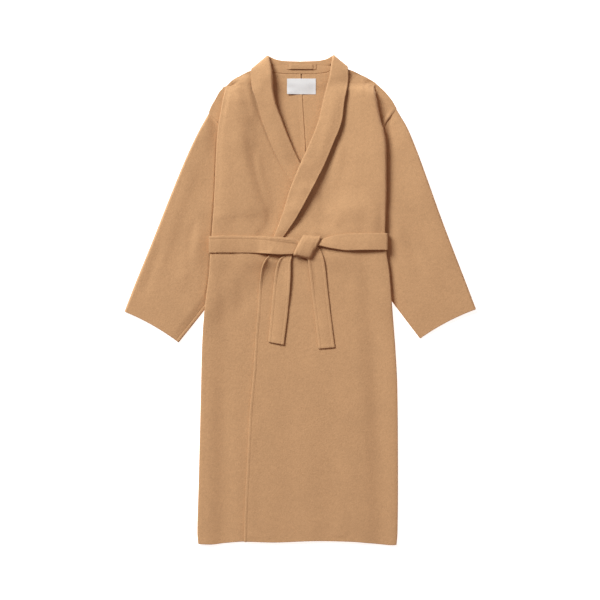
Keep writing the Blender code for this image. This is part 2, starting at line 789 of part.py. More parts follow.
def sleeve(side):
    """A flattened tube from the armhole seam to the cuff."""
    sign = SIDES[side]
    rows = SLEEVE[side]
    armhole = [(out + 1.3, y - 0.8) for out, y in ARMHOLE[side]]
    armhole[-1] = (rows["outer_out"][0] - 1.0, rows["outer_y"][0])
    steps = np.linspace(0, 1, 2 * len(armhole) - 1)
    rings = []
    last = len(rows["puff"]) - 1
    for k in range(last + 1):
        outer = np.array([rows["outer_out"][k], rows["outer_y"][k]])
        inner = np.array([rows["inner_out"][k], rows["inner_y"][k]])
        line = np.array([inner + (outer - inner) * u for u in steps])
        if k == 0:
            line = np.array([np.array([np.interp(u * (len(armhole) - 1), range(len(armhole)), [p[i] for p in armhole]) for i in (0, 1)]) for u in steps])
        if k == last:
            away = np.array([outer[1] - inner[1], inner[0] - outer[0]])
            away = -away / np.linalg.norm(away) * np.sign(away[1])
            line += np.outer(CUFF_BOW * 4 * steps * (1 - steps), -away)
        across = line[-1] - line[0]
        across /= np.linalg.norm(across)
        radius = LAYER / 2
        edge = np.interp(line[:, 1], BODY_EDGE["y"][::-1], BODY_EDGE[side][::-1])
        clear = ease((line[:, 0] - edge - 20) / 50)
        puff = rows["puff"][k] * clear * np.sin(np.pi * steps) ** 0.5
        low, mid = WALL / 2, WALL / 2 + radius
        ring = []
        for i, (out, y) in enumerate(line):
            pull = across * (radius if i == 0 else -radius if i == len(line) - 1 else 0)
            ring.append((out + pull[0], y + pull[1], low + LAYER + puff[i]))
        tip = line[-1] - across * 0.0
        for turn in (45, 0, -45):
            a = math.radians(turn)
            p = line[-1] - across * radius * (1 - math.cos(a))
            ring.append((p[0], p[1], mid + radius * math.sin(a)))
        for i in range(len(line) - 1, -1, -1):
            out, y = line[i]
            pull = across * (radius if i == 0 else -radius if i == len(line) - 1 else 0)
            ring.append((out + pull[0], y + pull[1], low))
        for turn in (-45, 0, 45):
            a = math.radians(turn)
            p = line[0] + across * radius * (1 - math.cos(a))
            ring.append((p[0], p[1], mid + radius * math.sin(a)))
        rings.append([(x * sign, y, z) for x, y, z in ring])
    return tube("sleeve_" + side, rings, WALL, "wool")


# Collar


def collar(side):
    sign = SIDES[side]
    c = COLLAR[side]
    height = front_height[side]
    rows = []
    for k in range(len(c["face"])):
        face, radius = math.radians(c["face"][k]), c["radius"][k]
        front = ease((c["face"][k] + 66) / 140)
        seam = np.array([c["seam_out"][k], c["seam_y"][k], 0.0])
        if c["face"][k] > 80:
            seam[0] = float(front_edge[side](seam[1])) * sign - 0.9
        edge = np.array([c["edge_out"][k], c["edge_y"][k], 0.0])
        roll = np.array([c["roll_out"][k], c["roll_y"][k], 0.0])
        back_z = WALL / 2 + LAYER
        seam[2] = back_z * (1 - front) + float(height(seam[0] * sign, min(seam[1], 560))) * front
        edge[2] = WALL / 2 * (1 - front) + (float(height(edge[0] * sign, min(edge[1], 548))) + LAYER + c["lift"][k]) * front
        to_edge, to_seam = edge[:2] - roll[:2], seam[:2] - roll[:2]
        d = to_edge / np.linalg.norm(to_edge) + to_seam / np.linalg.norm(to_seam)
        d = np.array([*(d / np.linalg.norm(d)), 0.0])
        aside = np.array([-d[1], d[0], 0.0])
        n = math.cos(face) * aside + math.sin(face) * np.array([0, 0, 1.0])
        mid_z = seam[2] + radius * math.sin(face) if abs(c["face"][k]) > 45 else (seam[2] + edge[2]) / 2
        centre = roll + d * radius
        centre[2] = mid_z
        stand, fall = centre - n * radius, centre + n * radius
        row = [seam + (stand - seam) * 0.0, seam + (stand - seam) * 0.55]
        for turn in (-90, -45, 0, 45, 90):
            a = math.radians(turn)
            row.append(centre - d * radius * math.cos(a) + n * radius * math.sin(a))
        row += [fall + (edge - fall) * u for u in (0.34, 0.68, 1.0)]
        rows.append([(p[0] * sign, p[1], p[2]) for p in row])
    return sheet("collar_" + side, rows, WALL, "wool")


def neck_band():
    """The strip between the back neckline and the collar's stand."""
    rows = []
    for out in (-71, -66.5, -62, -50, -26, 0, 26, 50, 62, 66.5, 71):
        low = np.interp(abs(out), BACK_TOP_OUT, BACK_TOP_Y) + SEAM + (0.5 if abs(out) > 60 else 0.0)
        high = np.interp(abs(out), (0, 40, 58, 70), (565.4, 564.9, 564.1, 563.6))
        z = WALL / 2 + LAYER
        rows.append([(out, low, float(back_height(out, low))), (out, (low + high) / 2, z), (out, high, z)])
    return sheet("neck_band", rows, WALL, "wool_inside")


def hanger_loop():
    """A flat strip of the cloth, sewn down at both ends and standing off in between."""
    rows = []
    rest = WALL / 2 + LAYER + WALL / 2 + SEAM + TRIM_WALL / 2
    for x, rise, low, high in (
        (-32.0, 0.0, 554.0, 567.5),
        (-27.0, 0.2, 554.0, 567.5),
        (-23.0, 1.4, 554.5, 567.2),
        (3.0, 2.6, 554.0, 566.4),
        (29.0, 1.4, 554.5, 567.2),
        (33.0, 0.2, 554.0, 567.5),
        (38.0, 0.0, 554.0, 567.5),
    ):
        rows.append([(x, low, rest + rise), (x, high, rest + rise)])
    return sheet("hanger_loop", rows, TRIM_WALL, "wool")


def label():
    """A plain woven label below the neck band."""
    rows = []
    for x in (-32.0, 3.0, 38.0):
        row = []
        for y in (493.0, 512.0, 531.0):
            under = float(back_height(x, y))
            row.append((x, y, under + WALL / 2 + SEAM + TRIM_WALL / 2 + (1.6 if y == 493.0 and x < 0 else 0.2)))
        rows.append(row)
    return sheet("label", rows, TRIM_WALL, "label", 0.7)


# Belt


def top_height(x, y):
    """The height of the uppermost panel at a place near the waist."""
    over = front_edge["left"](y)
    share = ease((x - (over - 14)) / 12)
    return np.where(x < over - 14, under_height(x, y), under_height(x, y) * (1 - share) + over_height(x, y) * share)


def belt_waist():
    """One strip from the knot round the back and to the knot again."""
    b = BELT_FRONT
    mid_z = WALL / 2
    rows = []

    def front(i):
        x, top, low = b["x"][i], b["top"][i], b["bottom"][i]
        z = [float(top_height(x, y)) + LAYER + 0.6 + b["rise"][i] for y in (low, (low + top) / 2, top)]
        z = [max(z[0], z[1] - 2.5), z[1], max(z[2], z[1] - 2.5)]
        return [(x, low, z[0]), (x, (low + top) / 2, z[1]), (x, top, z[2])]

    knot_left = [i for i in range(len(b["x"])) if b["x"][i] < 0]
    knot_right = [i for i in range(len(b["x"])) if b["x"][i] > 40]
    for i in reversed(knot_left):
        rows.append(front(i))
    for side in ("right", "left"):
        sign = SIDES[side]
        i = 0 if side == "right" else len(b["x"]) - 1
        high = rows[-1][1][2] if side == "right" else front(i)[1][2]
        low = WALL / 2 + 2 * LAYER
        radius = (high - low) / 2
        turn = []
        for a in (60, 25, -10, -45, -90):
            r = math.radians(a)
            turn.append([((abs(b["x"][i]) + 1.2 + min(radius, 3.0) * (math.cos(r) - 1) * 0.8) * sign, y, low + radius + radius * math.sin(r))
                         for y in (b["bottom"][i], (b["bottom"][i] + b["top"][i]) / 2, b["top"][i])])
        if side == "right":
            rows += turn
            for x in (-196, -150, -118, -84, -40, 0, 40, 84, 118, 150, 188):
                z = WALL / 2 + 2 * LAYER * float(ease((abs(x) - 76) / 60))
                rows.append([(x, BELT_Y + dy, z) for dy in (-BELT_WIDTH / 2, 0, BELT_WIDTH / 2)])
        else:
            rows += list(reversed(turn))
    for i in reversed(knot_right):
        rows.append(front(i))
    return sheet("belt_waist", rows, WALL, "wool")


def knot_floor(x, y):
    return float(top_height(x, y)) + LAYER * 2 + 2.2


def belt_knot():
    """The tied knot: a rounded band of cloth wrapped across the belt."""
    rows = []
    k = KNOT
    for i in range(len(k["rise"])):
        left = np.array([k["left_x"][i], k["left_y"][i]])
        right = np.array([k["right_x"][i], k["right_y"][i]])
        base = knot_floor(20, BELT_Y) + 1.0
        ring = []
        for u, h in ((0.0, 0.0), (0.06, 0.62), (0.2, 0.92), (0.5, 1.0), (0.8, 0.92), (0.94, 0.62), (1.0, 0.0)):
            p = left + (right - left) * u
            ring.append((p[0], p[1], base + 0.6 + h * k["rise"][i]))
        rows.append(ring)
    top = np.array(rows)
    bottom = top.copy()
    bottom[:, :, 2] = knot_floor(20, BELT_Y)
    points = np.concatenate([top.reshape(-1, 3), bottom.reshape(-1, 3)])
    n, m = top.shape[:2]
    index = np.arange(n * m).reshape(n, m)
    lower = index + n * m
    faces = []
    for r in range(n - 1):
        for c in range(m - 1):
            faces.append((index[r, c], index[r, c + 1], index[r + 1, c + 1], index[r + 1, c]))
            faces.append((lower[r, c], lower[r + 1, c], lower[r + 1, c + 1], lower[r, c + 1]))
    rim = [(0, c) for c in range(m)] + [(r, m - 1) for r in range(1, n)]
    rim += [(n - 1, c) for c in range(m - 2, -1, -1)] + [(r, 0) for r in range(n - 2, 0, -1)]
    for a, b in zip(rim, rim[1:] + rim[:1]):
        faces.append((index[a], lower[a], lower[b], index[b]))
    return solid("belt_knot", points, faces, "wool", 0.92)


def belt_tail(side):
    """One end of the belt, from under the knot down over the front."""
    t = TAIL_LEFT if side == "left" else TAIL_RIGHT
    rows = []
    for i in range(len(t["rise"])):
        left = np.array([t["left_x"][i], t["left_y"][i]])
        right = np.array([t["right_x"][i], t["right_y"][i]])
        row = []
        for u in (0.0, 0.5, 1.0):
            p = left + (right - left) * u
            row.append((p[0], p[1], float(over_height(p[0], p[1])) + LAYER + 0.4 + t["rise"][i]))
        rows.append(row)
    return sheet("belt_tail_" + side, rows, WALL, "wool")


def build():
    for obj in list(bpy.data.objects):
        bpy.data.objects.remove(obj, do_unlink=True)
    made = []
    for side in SIDES:
        made += [back_panel(side), front_panel(side), sleeve(side), collar(side), belt_tail(side)]
    made += [neck_band(), hanger_loop(), label(), belt_waist(), belt_knot()]
    # The frame's origin is under the middle of the whole coat
    corners = np.concatenate([[v.co[:] for v in obj.data.vertices] for obj in made])
    low, high = corners.min(axis=0), corners.max(axis=0)
    shift = -np.array([(low[0] + high[0]) / 2, (low[1] + high[1]) / 2, low[2]])
    for obj in made:
        for v in obj.data.vertices:
            v.co = [a + b for a, b in zip(v.co, shift)]
    print("shift of the tables to the frame, mm:", [round(float(s) * 1000, 2) for s in shift])


build()
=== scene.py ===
"""The looks of a long wrap coat in camel double-faced wool, laid flat on its back.

Every piece is a thin shell on the form of the solid it replaces: the tables below
are the solids' own, in millimetres, read much more finely, with the edges' beads,
the seams and the creases added. Heights are worked out from the floor up, each
layer from what lies under it.
"""

import math

import bpy
import numpy as np
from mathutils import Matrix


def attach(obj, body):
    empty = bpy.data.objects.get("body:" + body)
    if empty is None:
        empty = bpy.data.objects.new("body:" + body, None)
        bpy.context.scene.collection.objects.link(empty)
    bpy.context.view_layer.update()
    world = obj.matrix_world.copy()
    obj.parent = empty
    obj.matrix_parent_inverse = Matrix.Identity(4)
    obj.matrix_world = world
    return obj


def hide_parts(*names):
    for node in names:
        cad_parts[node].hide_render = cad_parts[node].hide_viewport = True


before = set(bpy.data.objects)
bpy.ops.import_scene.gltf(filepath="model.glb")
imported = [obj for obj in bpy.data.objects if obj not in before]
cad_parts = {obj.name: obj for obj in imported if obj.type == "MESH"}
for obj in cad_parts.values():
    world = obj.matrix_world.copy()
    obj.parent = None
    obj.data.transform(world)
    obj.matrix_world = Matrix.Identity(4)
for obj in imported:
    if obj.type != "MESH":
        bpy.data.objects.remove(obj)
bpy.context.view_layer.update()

MM = 0.001
SHIFT = (0.05, -0.05, 0.05)  # from the tables to the frame

# Cloth
WALL = 2.4  # double-faced wool, pressed
LAYER = 3.0  # from the middle of one layer to the next that lies on it
SEAM = 0.3  # between the edges of two pieces that are sewn together
AIR = 0.9  # more room between two panels that only lie on each other
TAPER = 100.0  # the width over which a panel comes down off a thicker stack
TRIM_WALL = 1.0  # label and hanger loop

# Belt
BELT_WIDTH = 38.0
BELT_Y = 133.0
KNOT_RISE = 13.0

SIDES = {"right": -1.0, "left": 1.0}


def table(columns, *rows):
    """A short table: the column names in one string, then a row of numbers for each section."""
    return {n: np.array([r[i] for r in rows], float) for i, n in enumerate(columns.split())}


# The outer edge of the body: the fold of the pleat above the underarm, the side below it
BODY_EDGE = table(
    "y     right  left",
    (520, 174.0, 177.0),
    (514, 177.4, 178.0),
    (478, 186.5, 183.5),
    (449, 191.8, 189.0),
    (425, 196.0, 194.5),
    (408, 198.2, 200.2),
    (360, 202.1, 206.6),
    (264, 205.9, 207.6),
    (161, 212.2, 203.8),
    (113, 216.0, 207.1),
    (72, 218.4, 213.8),
    (-12, 228.5, 220.3),
    (-72, 234.2, 225.4),
    (-120, 236.6, 229.0),
    (-206, 238.6, 233.3),
    (-307, 241.0, 234.6),
    (-441, 244.3, 235.0),
    (-560, 247.5, 233.8),
    (-588, 245.5, 231.5),
)

# The shoulder seam, from the neck point out to the top of the armhole seam
SHOULDER = table(
    "out   right  left",
    (84, 570.0, 570.0),
    (100, 561.0, 562.0),
    (116, 552.0, 553.5),
    (130, 547.0, 549.5),
    (154, 534.5, 538.0),
    (166, 526.0, 531.5),
    (177, 514.5, 524.5),
    (192, 504.0, 512.0),
    (205, 482.0, 499.5),
    (215, 464.5, 487.5),
    (221, 449.0, 479.5),
    (232, 430.0, 460.0),
)

# The ear of body cloth outside the pleat: where its edge is, at each height
EAR_RIGHT = table(
    "y    out",
    (352, 168.5),
    (372, 171.0),
    (405, 183.5),
    (430, 199.7),
    (449, 220.3),
    (465, 214.6),
    (482, 205.4),
    (504, 192.0),
    (514, 178.0),
)
EAR_LEFT = table(
    "y    out",
    (352, 168.5),
    (372, 171.0),
    (403, 197.0),
    (426, 207.8),
    (441, 217.9),
    (460, 232.0),
    (482, 219.0),
    (503, 201.0),
    (514, 189.0),
    (520, 179.5),
)
EAR = {"right": EAR_RIGHT, "left": EAR_LEFT}
SHOULDER_POINT = {"right": 514.0, "left": 520.0}  # y where the pleat starts
ARMHOLE_TOP = {"right": 449.0, "left": 460.0}  # y where the armhole seam meets the shoulder

# How far the pleat has turned over, by the distance below the shoulder point
PLEAT = table("below turn", (0, 0), (6, 40), (13, 90), (22, 130), (34, 165), (46, 180))

# The inner fold of the pleat, and below it the sleeve's inner edge under the body
INNER_FOLD = table(
    "y     out",
    (520, 177.0),
    (372, 164.0),
    (96, 138.0),
    (60, 166.0),
    (20, 198.0),
    (-21, 230.0),
    (-60, 250.0),
)

# At the side edge: fold radius, how high the back is lifted, and the front above it
SIDE = table(
    "y     radius_right lift_right radius_left lift_left above",
    (352, 4.0, 11.0, 10.2, 23.4, 3.0),
    (225, 4.0, 11.0, 7.6, 18.2, 3.0),
    (185, 3.6, 9.0, 3.8, 13.0, 7.4),
    (104, 3.6, 9.0, 3.6, 10.0, 7.2),
    (60, 3.6, 6.6, 3.6, 8.4, 7.2),
    (10, 3.6, 6.2, 3.6, 8.0, 7.2),
    (-21, 3.6, 5.4, 3.6, 6.6, 7.2),
    (-60, 3.5, 1.8, 3.5, 1.8, 7.0),
    (-100, 3.4, 0.0, 3.4, 0.0, 6.8),
    (-588, 3.2, 0.0, 3.2, 0.0, 6.4),
)

# Length of cloth past the side fold, at the front and at the back, below the ear
TUCK = table(
    "y    front  back",
    (352, 30.0, 30.0),
    (300, 18.0, 18.0),
    (262, 9.0, 6.0),
    (240, 4.0, -4.0),
    (225, 2.0, -16.5),
    (-110, 2.0, -16.5),
    (-300, 2.0, -13.4),
    (-600, 2.0, -13.2),
)

# The fronts' inner edge: the collar seam down to the waist, then the free front edge
FRONT_EDGE = table(
    "y     over    under",
    (570, 84.0, -84.0),
    (545, 81.1, -81.8),
    (515, 77.5, -79.0),
    (478, 67.0, -73.0),
    (432, 57.0, -57.0),
    (371, 33.5, -32.0),
    (320, 9.0, -8.0),
    (298, -0.5, 2.0),
    (264, -12.0, 14.0),
    (214, -27.0, 28.0),
    (159, -47.5, 48.0),
    (130, -60.0, 62.0),
    (110, -72.7, 73.0),
    (96, -84.0, 84.0),
    (75, -92.6, 92.0),
    (45, -97.0, 97.0),
    (-14, -101.0, 101.0),
    (-72, -106.0, 106.0),
    (-168, -112.0, 112.0),
    (-273, -121.4, 121.0),
    (-408, -128.0, 128.0),
    (-509, -133.0, 133.0),
    (-588, -135.0, 135.0),
)

# The hem's own line, across the coat
HEM = table(
    "x     y",
    (-245, -585.8),
    (-214, -587.0),
    (-180, -583.7),
    (-136, -580.3),
    (-63, -582.0),
    (38, -578.6),
    (122, -580.3),
    (172, -584.4),
    (224, -588.6),
    (236, -587.0),
)

# The centre-back seam, which lies a little to the left of the middle line
BACK_SEAM = table(
    "y     x",
    (570, 2.4),
    (544, 2.9),
    (450, 7.5),
    (346, 13.0),
    (200, 9.0),
    (0, 0.0),
    (-600, 0.0),
)

# The back neckline and shoulder, as the top edge of the back panels
BACK_TOP_OUT = (0, 40, 62, 72, 79)
BACK_TOP_Y = (543.3, 544.0, 546.5, 551.0, 559.0)

# The collar, from the centre back round the neck point and down the front.
# roll: its folded edge; edge: its free edge; seam: where it is sewn to the body.
# face: which way the fall faces from the stand, -90 under the back, 90 on the front.
COLLAR_COLUMNS = "roll_out roll_y edge_out edge_y seam_out seam_y face radius lift"
COLLAR_RIGHT = table(
    COLLAR_COLUMNS,
    (0.2, 573.0, 0.2, 526.0, 0.2, 565.8, -90, 1.5, 0.0),
    (40.0, 574.5, 44.0, 528.0, 40.0, 565.3, -90, 1.5, 0.0),
    (60.0, 578.5, 76.0, 536.0, 58.0, 564.5, -88, 1.5, 0.0),
    (70.0, 583.0, 97.0, 545.5, 70.0, 565.0, -80, 1.5, 0.0),
    (75.4, 585.7, 112.0, 553.8, 74.0, 567.5, -70, 1.5, 0.0),
    (76.8, 586.6, 114.6, 556.2, 77.5, 570.5, 0, 3.0, 0.0),
    (75.6, 581.0, 117.0, 553.4, 80.5, 569.0, 55, 3.6, 1.0),
    (71.6, 565.4, 118.4, 543.0, 84.0, 553.0, 85, 5.4, 2.4),
    (67.4, 538.6, 117.5, 525.0, 82.0, 534.0, 90, 7.0, 5.4),
    (65.5, 507.8, 114.8, 506.0, 77.5, 507.0, 90, 7.4, 6.6),
    (60.7, 477.8, 104.5, 479.0, 72.7, 478.0, 90, 6.8, 5.0),
    (44.9, 432.2, 91.0, 432.0, 56.7, 432.0, 90, 4.8, 2.2),
    (19.2, 367.4, 67.0, 368.0, 31.0, 367.6, 90, 3.4, 1.0),
    (-2.9, 320.6, 44.0, 320.6, 8.0, 320.6, 90, 1.6, 0.3),
    (-10.9, 300.0, 32.0, 300.0, 0.0, 300.0, 90, 1.5, 0.0),
    (-25.0, 264.0, 10.0, 264.0, -14.3, 264.0, 90, 1.5, 0.0),
    (-39.0, 214.0, -8.0, 214.0, -28.3, 214.0, 90, 1.5, 0.0),
    (-48.0, 190.0, -22.5, 190.0, -37.4, 190.0, 90, 1.5, 0.0),
    (-57.0, 166.0, -39.0, 166.0, -46.5, 166.0, 90, 1.5, 0.0),
)
COLLAR_LEFT = table(
    COLLAR_COLUMNS,
    (0.2, 573.0, 0.2, 526.0, 0.2, 565.8, -90, 1.5, 0.0),
    (40.0, 574.5, 44.0, 528.0, 40.0, 565.3, -90, 1.5, 0.0),
    (62.0, 578.5, 76.0, 537.0, 58.0, 564.5, -88, 1.5, 0.0),
    (72.0, 583.5, 95.0, 548.0, 70.0, 565.0, -80, 1.5, 0.0),
    (77.8, 586.8, 109.2, 558.6, 74.0, 567.5, -70, 1.5, 0.0),
    (79.5, 587.6, 111.8, 561.4, 78.5, 570.5, 0, 3.0, 0.0),
    (78.4, 581.0, 113.6, 558.0, 81.0, 569.0, 55, 3.8, 2.5),
    (74.5, 562.0, 114.6, 546.0, 84.0, 553.0, 85, 4.4, 6.5),
    (71.5, 540.0, 114.8, 531.0, 82.5, 536.0, 90, 4.6, 8.0),
    (63.5, 510.0, 111.9, 508.0, 75.8, 509.0, 90, 4.6, 9.0),
    (55.0, 476.0, 105.9, 477.0, 66.4, 476.5, 90, 4.6, 9.0),
    (44.9, 432.2, 100.2, 432.0, 56.7, 432.0, 90, 4.6, 9.0),
    (21.1, 371.3, 77.5, 371.0, 33.3, 371.0, 90, 4.6, 10.0),
    (-4.0, 315.0, 53.5, 315.0, 6.4, 315.0, 90, 4.6, 11.0),
    (-10.0, 300.0, 45.9, 300.0, 0.0, 300.0, 90, 4.6, 11.4),
    (-22.0, 270.0, 30.7, 270.0, -10.6, 270.0, 90, 4.6, 12.0),
    (-39.4, 214.0, 0.6, 214.0, -27.3, 214.0, 90, 4.4, 11.0),
    (-48.0, 190.0, -13.6, 190.0, -36.0, 190.0, 90, 4.0, 9.0),
    (-56.0, 168.0, -28.8, 168.0, -44.3, 168.0, 90, 3.2, 5.0),
    (-62.0, 152.0, -40.0, 152.0, -50.0, 152.0, 90, 2.4, 1.6),
    (-65.5, 138.0, -49.0, 138.0, -57.0, 138.0, 90, 1.8, 0.4),
)
COLLAR = {"right": COLLAR_RIGHT, "left": COLLAR_LEFT}

# The sleeves, as rows from the armhole to the cuff: the outer and the inner edge
SLEEVE_COLUMNS = "outer_out outer_y inner_out inner_y puff"
SLEEVE_RIGHT = table(
    SLEEVE_COLUMNS,
    (220.6, 448.0, 169.0, 350.0, 0.0),
    (242.0, 408.0, 164.0, 300.0, 1.0),
    (265.0, 361.0, 158.5, 243.4, 3.0),
    (293.6, 294.0, 150.6, 171.2, 5.0),
    (321.7, 224.4, 139.5, 98.0, 6.0),
    (344.8, 165.5, 166.0, 61.0, 6.5),
    (366.5, 111.5, 197.0, 21.0, 6.5),
    (398.3, 33.4, 252.3, -50.3, 5.1),
    (421.5, -27.0, 292.6, -100.4, 2.6),
)
SLEEVE_LEFT = table(
    SLEEVE_COLUMNS,
    (232.0, 457.4, 169.0, 350.0, 0.0),
    (256.6, 414.0, 164.0, 300.0, 1.0),
    (279.1, 360.0, 158.0, 245.0, 3.0),
    (304.1, 292.0, 150.0, 172.0, 5.0),
    (327.9, 225.0, 143.0, 102.0, 6.0),
    (348.1, 170.0, 172.0, 62.0, 6.5),
    (369.5, 114.0, 200.0, 26.0, 6.5),
    (399.3, 37.0, 247.0, -37.0, 5.0),
    (421.4, -21.0, 288.2, -91.2, 2.5),
)
SLEEVE = {"right": SLEEVE_RIGHT, "left": SLEEVE_LEFT}
CUFF_BOW = 5.0  # the cuff's edge bows towards the shoulder by this much

# The armhole seam that the ear and the sleeve share, from the hidden end up
ARMHOLE = {
    "right": ((168.5, 352), (171.0, 372), (183.5, 405), (199.7, 430), (220.3, 449)),
    "left": ((168.5, 352), (171.0, 372), (197.0, 403), (207.8, 426), (232.0, 460)),
}

# The belt: its top and bottom edges and how high it runs over what is beneath
BELT_FRONT = table(
    "x      top    bottom rise",
    (-219, 152.6, 112.6, 0.0),
    (-180, 154.0, 113.4, 0.4),
    (-110, 153.0, 112.8, 0.8),
    (-84, 152.2, 111.2, 4.4),
    (-66, 151.2, 110.0, 6.8),
    (-48, 150.2, 109.0, 6.8),
    (-30, 148.6, 109.4, 4.4),
    (-18, 147.6, 109.8, 3.2),
    (-4, 141.0, 113.0, 3.2),
    (22, 138.0, 116.0, 3.0),
    (46, 140.0, 131.0, 2.4),
    (58, 147.2, 128.0, 1.8),
    (85, 155.0, 122.4, 1.2),
    (112, 158.6, 118.8, 0.8),
    (160, 159.8, 119.6, 0.4),
    (207, 160.2, 119.6, 0.0),
)

# The belt's ends, from the knot down: left and right edges and height
TAIL_COLUMNS = "left_x left_y right_x right_y rise"
TAIL_RIGHT = table(
    TAIL_COLUMNS,
    (-37.0, 107.6, -19.5, 107.0, 1.6),
    (-50.5, 96.5, -23.0, 87.0, 2.2),
    (-58.0, 75.0, -22.8, 65.0, 1.6),
    (-62.8, 44.6, -24.8, 24.0, 0.8),
    (-68.6, -14.2, -29.2, -25.0, 0.3),
    (-76.4, -100.6, -39.4, -107.2, 0.0),
)
TAIL_LEFT = table(
    TAIL_COLUMNS,
    (11.0, 104.0, 41.0, 129.0, 1.2),
    (17.6, 98.0, 50.0, 117.0, 1.4),
    (21.4, 72.0, 58.0, 92.6, 1.4),
    (28.8, 10.6, 65.8, 26.6, 0.8),
    (36.5, -50.2, 74.8, -50.2, 0.3),
    (44.2, -116.6, 83.0, -113.2, 0.0),
)

# The knot: sections across the band that wraps it, from its top to its foot
KNOT = table(
    "left_x left_y right_x right_y rise",
    (8.5, 155.5, 47.0, 152.5, 2.0),
    (4.0, 149.0, 46.0, 145.0, 6.5),
    (-3.0, 137.0, 41.0, 134.0, 8.5),
    (-9.0, 124.0, 33.0, 117.0, 8.0),
    (-14.5, 111.0, 26.0, 103.0, 5.0),
    (-15.0, 107.5, 21.0, 99.5, 1.5),
)


def ease(t):
    """0 to 1 with level ends."""
    t = np.clip(t, 0.0, 1.0)
    return t * t * (3 - 2 * t)


def along(tab, by, name):
    """A smooth curve through two columns of a table that never overshoots them."""
    order = np.argsort(tab[by])
    x, y = tab[by][order], tab[name][order]
    h = np.diff(x)
    d = np.diff(y) / h
    m = np.zeros_like(y)
    m[0], m[-1] = d[0], d[-1]
    for i in range(1, len(y) - 1):
        if d[i - 1] * d[i] > 0:
            a, b = 2 * h[i] + h[i - 1], h[i] + 2 * h[i - 1]
            m[i] = (a + b) / (a / d[i - 1] + b / d[i])

    def value(q):
        q = np.clip(q, x[0], x[-1])
        i = np.clip(np.searchsorted(x, q) - 1, 0, len(x) - 2)
        t = (q - x[i]) / h[i]
        return (
            (2 * t**3 - 3 * t**2 + 1) * y[i]
            + (t**3 - 2 * t**2 + t) * h[i] * m[i]
            + (3 * t**2 - 2 * t**3) * y[i + 1]
            + (t**3 - t**2) * h[i] * m[i + 1]
        )

    return value


def between(points, q):
    """Straight runs through (out, y) pairs listed by rising y: out at height q."""
    return np.interp(q, [p[1] for p in points], [p[0] for p in points])


edge_out = {s: along(BODY_EDGE, "y", s) for s in SIDES}
shoulder_y = {s: along(SHOULDER, "out", s) for s in SIDES}
inner_fold = along(INNER_FOLD, "y", "out")
side_radius = {s: along(SIDE, "y", "radius_" + s) for s in SIDES}
side_lift = {s: along(SIDE, "y", "lift_" + s) for s in SIDES}
side_above = along(SIDE, "y", "above")
tuck = {"front": along(TUCK, "y", "front"), "back": along(TUCK, "y", "back")}
front_edge = {"left": along(FRONT_EDGE, "y", "over"), "right": along(FRONT_EDGE, "y", "under")}
hem_y = along(HEM, "x", "y")
back_seam = along(BACK_SEAM, "y", "x")
pleat_turn = along(PLEAT, "below", "turn")


# Heights. Each layer's height comes from what lies under it.


def fold_path(side, y):
    """Radii, turn and run of the pleat at height y, and its total drop."""
    below = SHOULDER_POINT[side] - y
    turn = math.radians(float(pleat_turn(below))) if y > 352 else math.pi
    radius = float(side_radius[side](y))
    outer_len = max(radius * turn, 7.0)
    inner_len = max(0.5 * LAYER * turn, 3.0)
    outer_r = outer_len / turn if turn > 1e-6 else 1e9
    inner_r = inner_len / turn if turn > 1e-6 else 1e9
    width = float(edge_out[side](y)) - WALL / 2 - float(inner_fold(y))
    full = (turn / math.pi) ** 6
    run = max(0.0, width - LAYER - radius - 0.5 * LAYER) * full
    drop = (outer_r + inner_r) * (1 - math.cos(turn)) + run * math.sin(turn) if turn > 1e-6 else 0.0
    return {"turn": turn, "outer_len": outer_len, "inner_len": inner_len, "outer_r": outer_r,
            "inner_r": inner_r, "run": run, "drop": drop}


DROPS = {
    s: (
        np.array([SHOULDER_POINT[s] - b for b in range(0, 170, 4)][::-1], float),
        np.array([fold_path(s, SHOULDER_POINT[s] - b)["drop"] for b in range(0, 170, 4)][::-1]),
    )
    for s in SIDES
}


def lift_at_side(side, y):
    """How high the back panel's edge is above where it would lie on the surface."""
    y = np.asarray(y, float)
    return np.where(y > 352, np.interp(y, *DROPS[side]), side_lift[side](y))


def belt_band(y):
    """1 where the belt crosses under the back, 0 well above and below."""
    return ease((y - (BELT_Y - BELT_WIDTH / 2 - 42)) / 40) * ease(((BELT_Y + BELT_WIDTH / 2 + 42) - y) / 40)


def stack_share(side, x, y):
    """0 to 1 over the width in which a panel rises onto the thicker stack at its side."""
    out, start = x * SIDES[side], inner_fold(y) - TAPER
    share = ease((out - start) / TAPER)
    if side == "right":
        return share
    # the high pleat holds its panel up evenly, as far as the pleat's own fold
    end = edge_out[side](y) - side_radius[side](y) - 2.0
    even = np.clip((out - start) / (end - start), 0, 1)
    even = 0.75 * even + 0.25 * ease(even)
    return share + (even - share) * ease((y - 214) / 56)


def back_height(x, y):
    x, y = np.asarray(x, float), np.asarray(y, float)
    out = np.abs(x)
    raised = np.zeros_like(x * y)
    share = np.zeros_like(x * y)
    for side, sign in SIDES.items():
        on = stack_share(side, x, y)
        raised = raised + on * lift_at_side(side, y)
        share = share + on
    collar = LAYER * ease((y - (526 + 30 * (out / 116) ** 2 - 34)) / 30) * ease((158 - out) / 36)
    return WALL / 2 + np.maximum(raised + (1 - share) * LAYER * belt_band(y), collar)


def neck_rise(side, x, y):
    """The fronts stand up a little along the collar seam."""
    sign = SIDES[side]
    gap = np.abs(x - front_edge[side](y))
    low = 330 if side == "right" else 200
    return 4.0 * ease(1 - gap / 70) * ease((y - low) / 110) * ease((600 - y) / 60)


def edge_rise(side, x, y):
    """What the front rises above one layer, near the side edge below the underarm."""
    out = x * SIDES[side]
    return (side_above(y) - LAYER) * ease((out - (edge_out[side](y) - 62)) / 50)


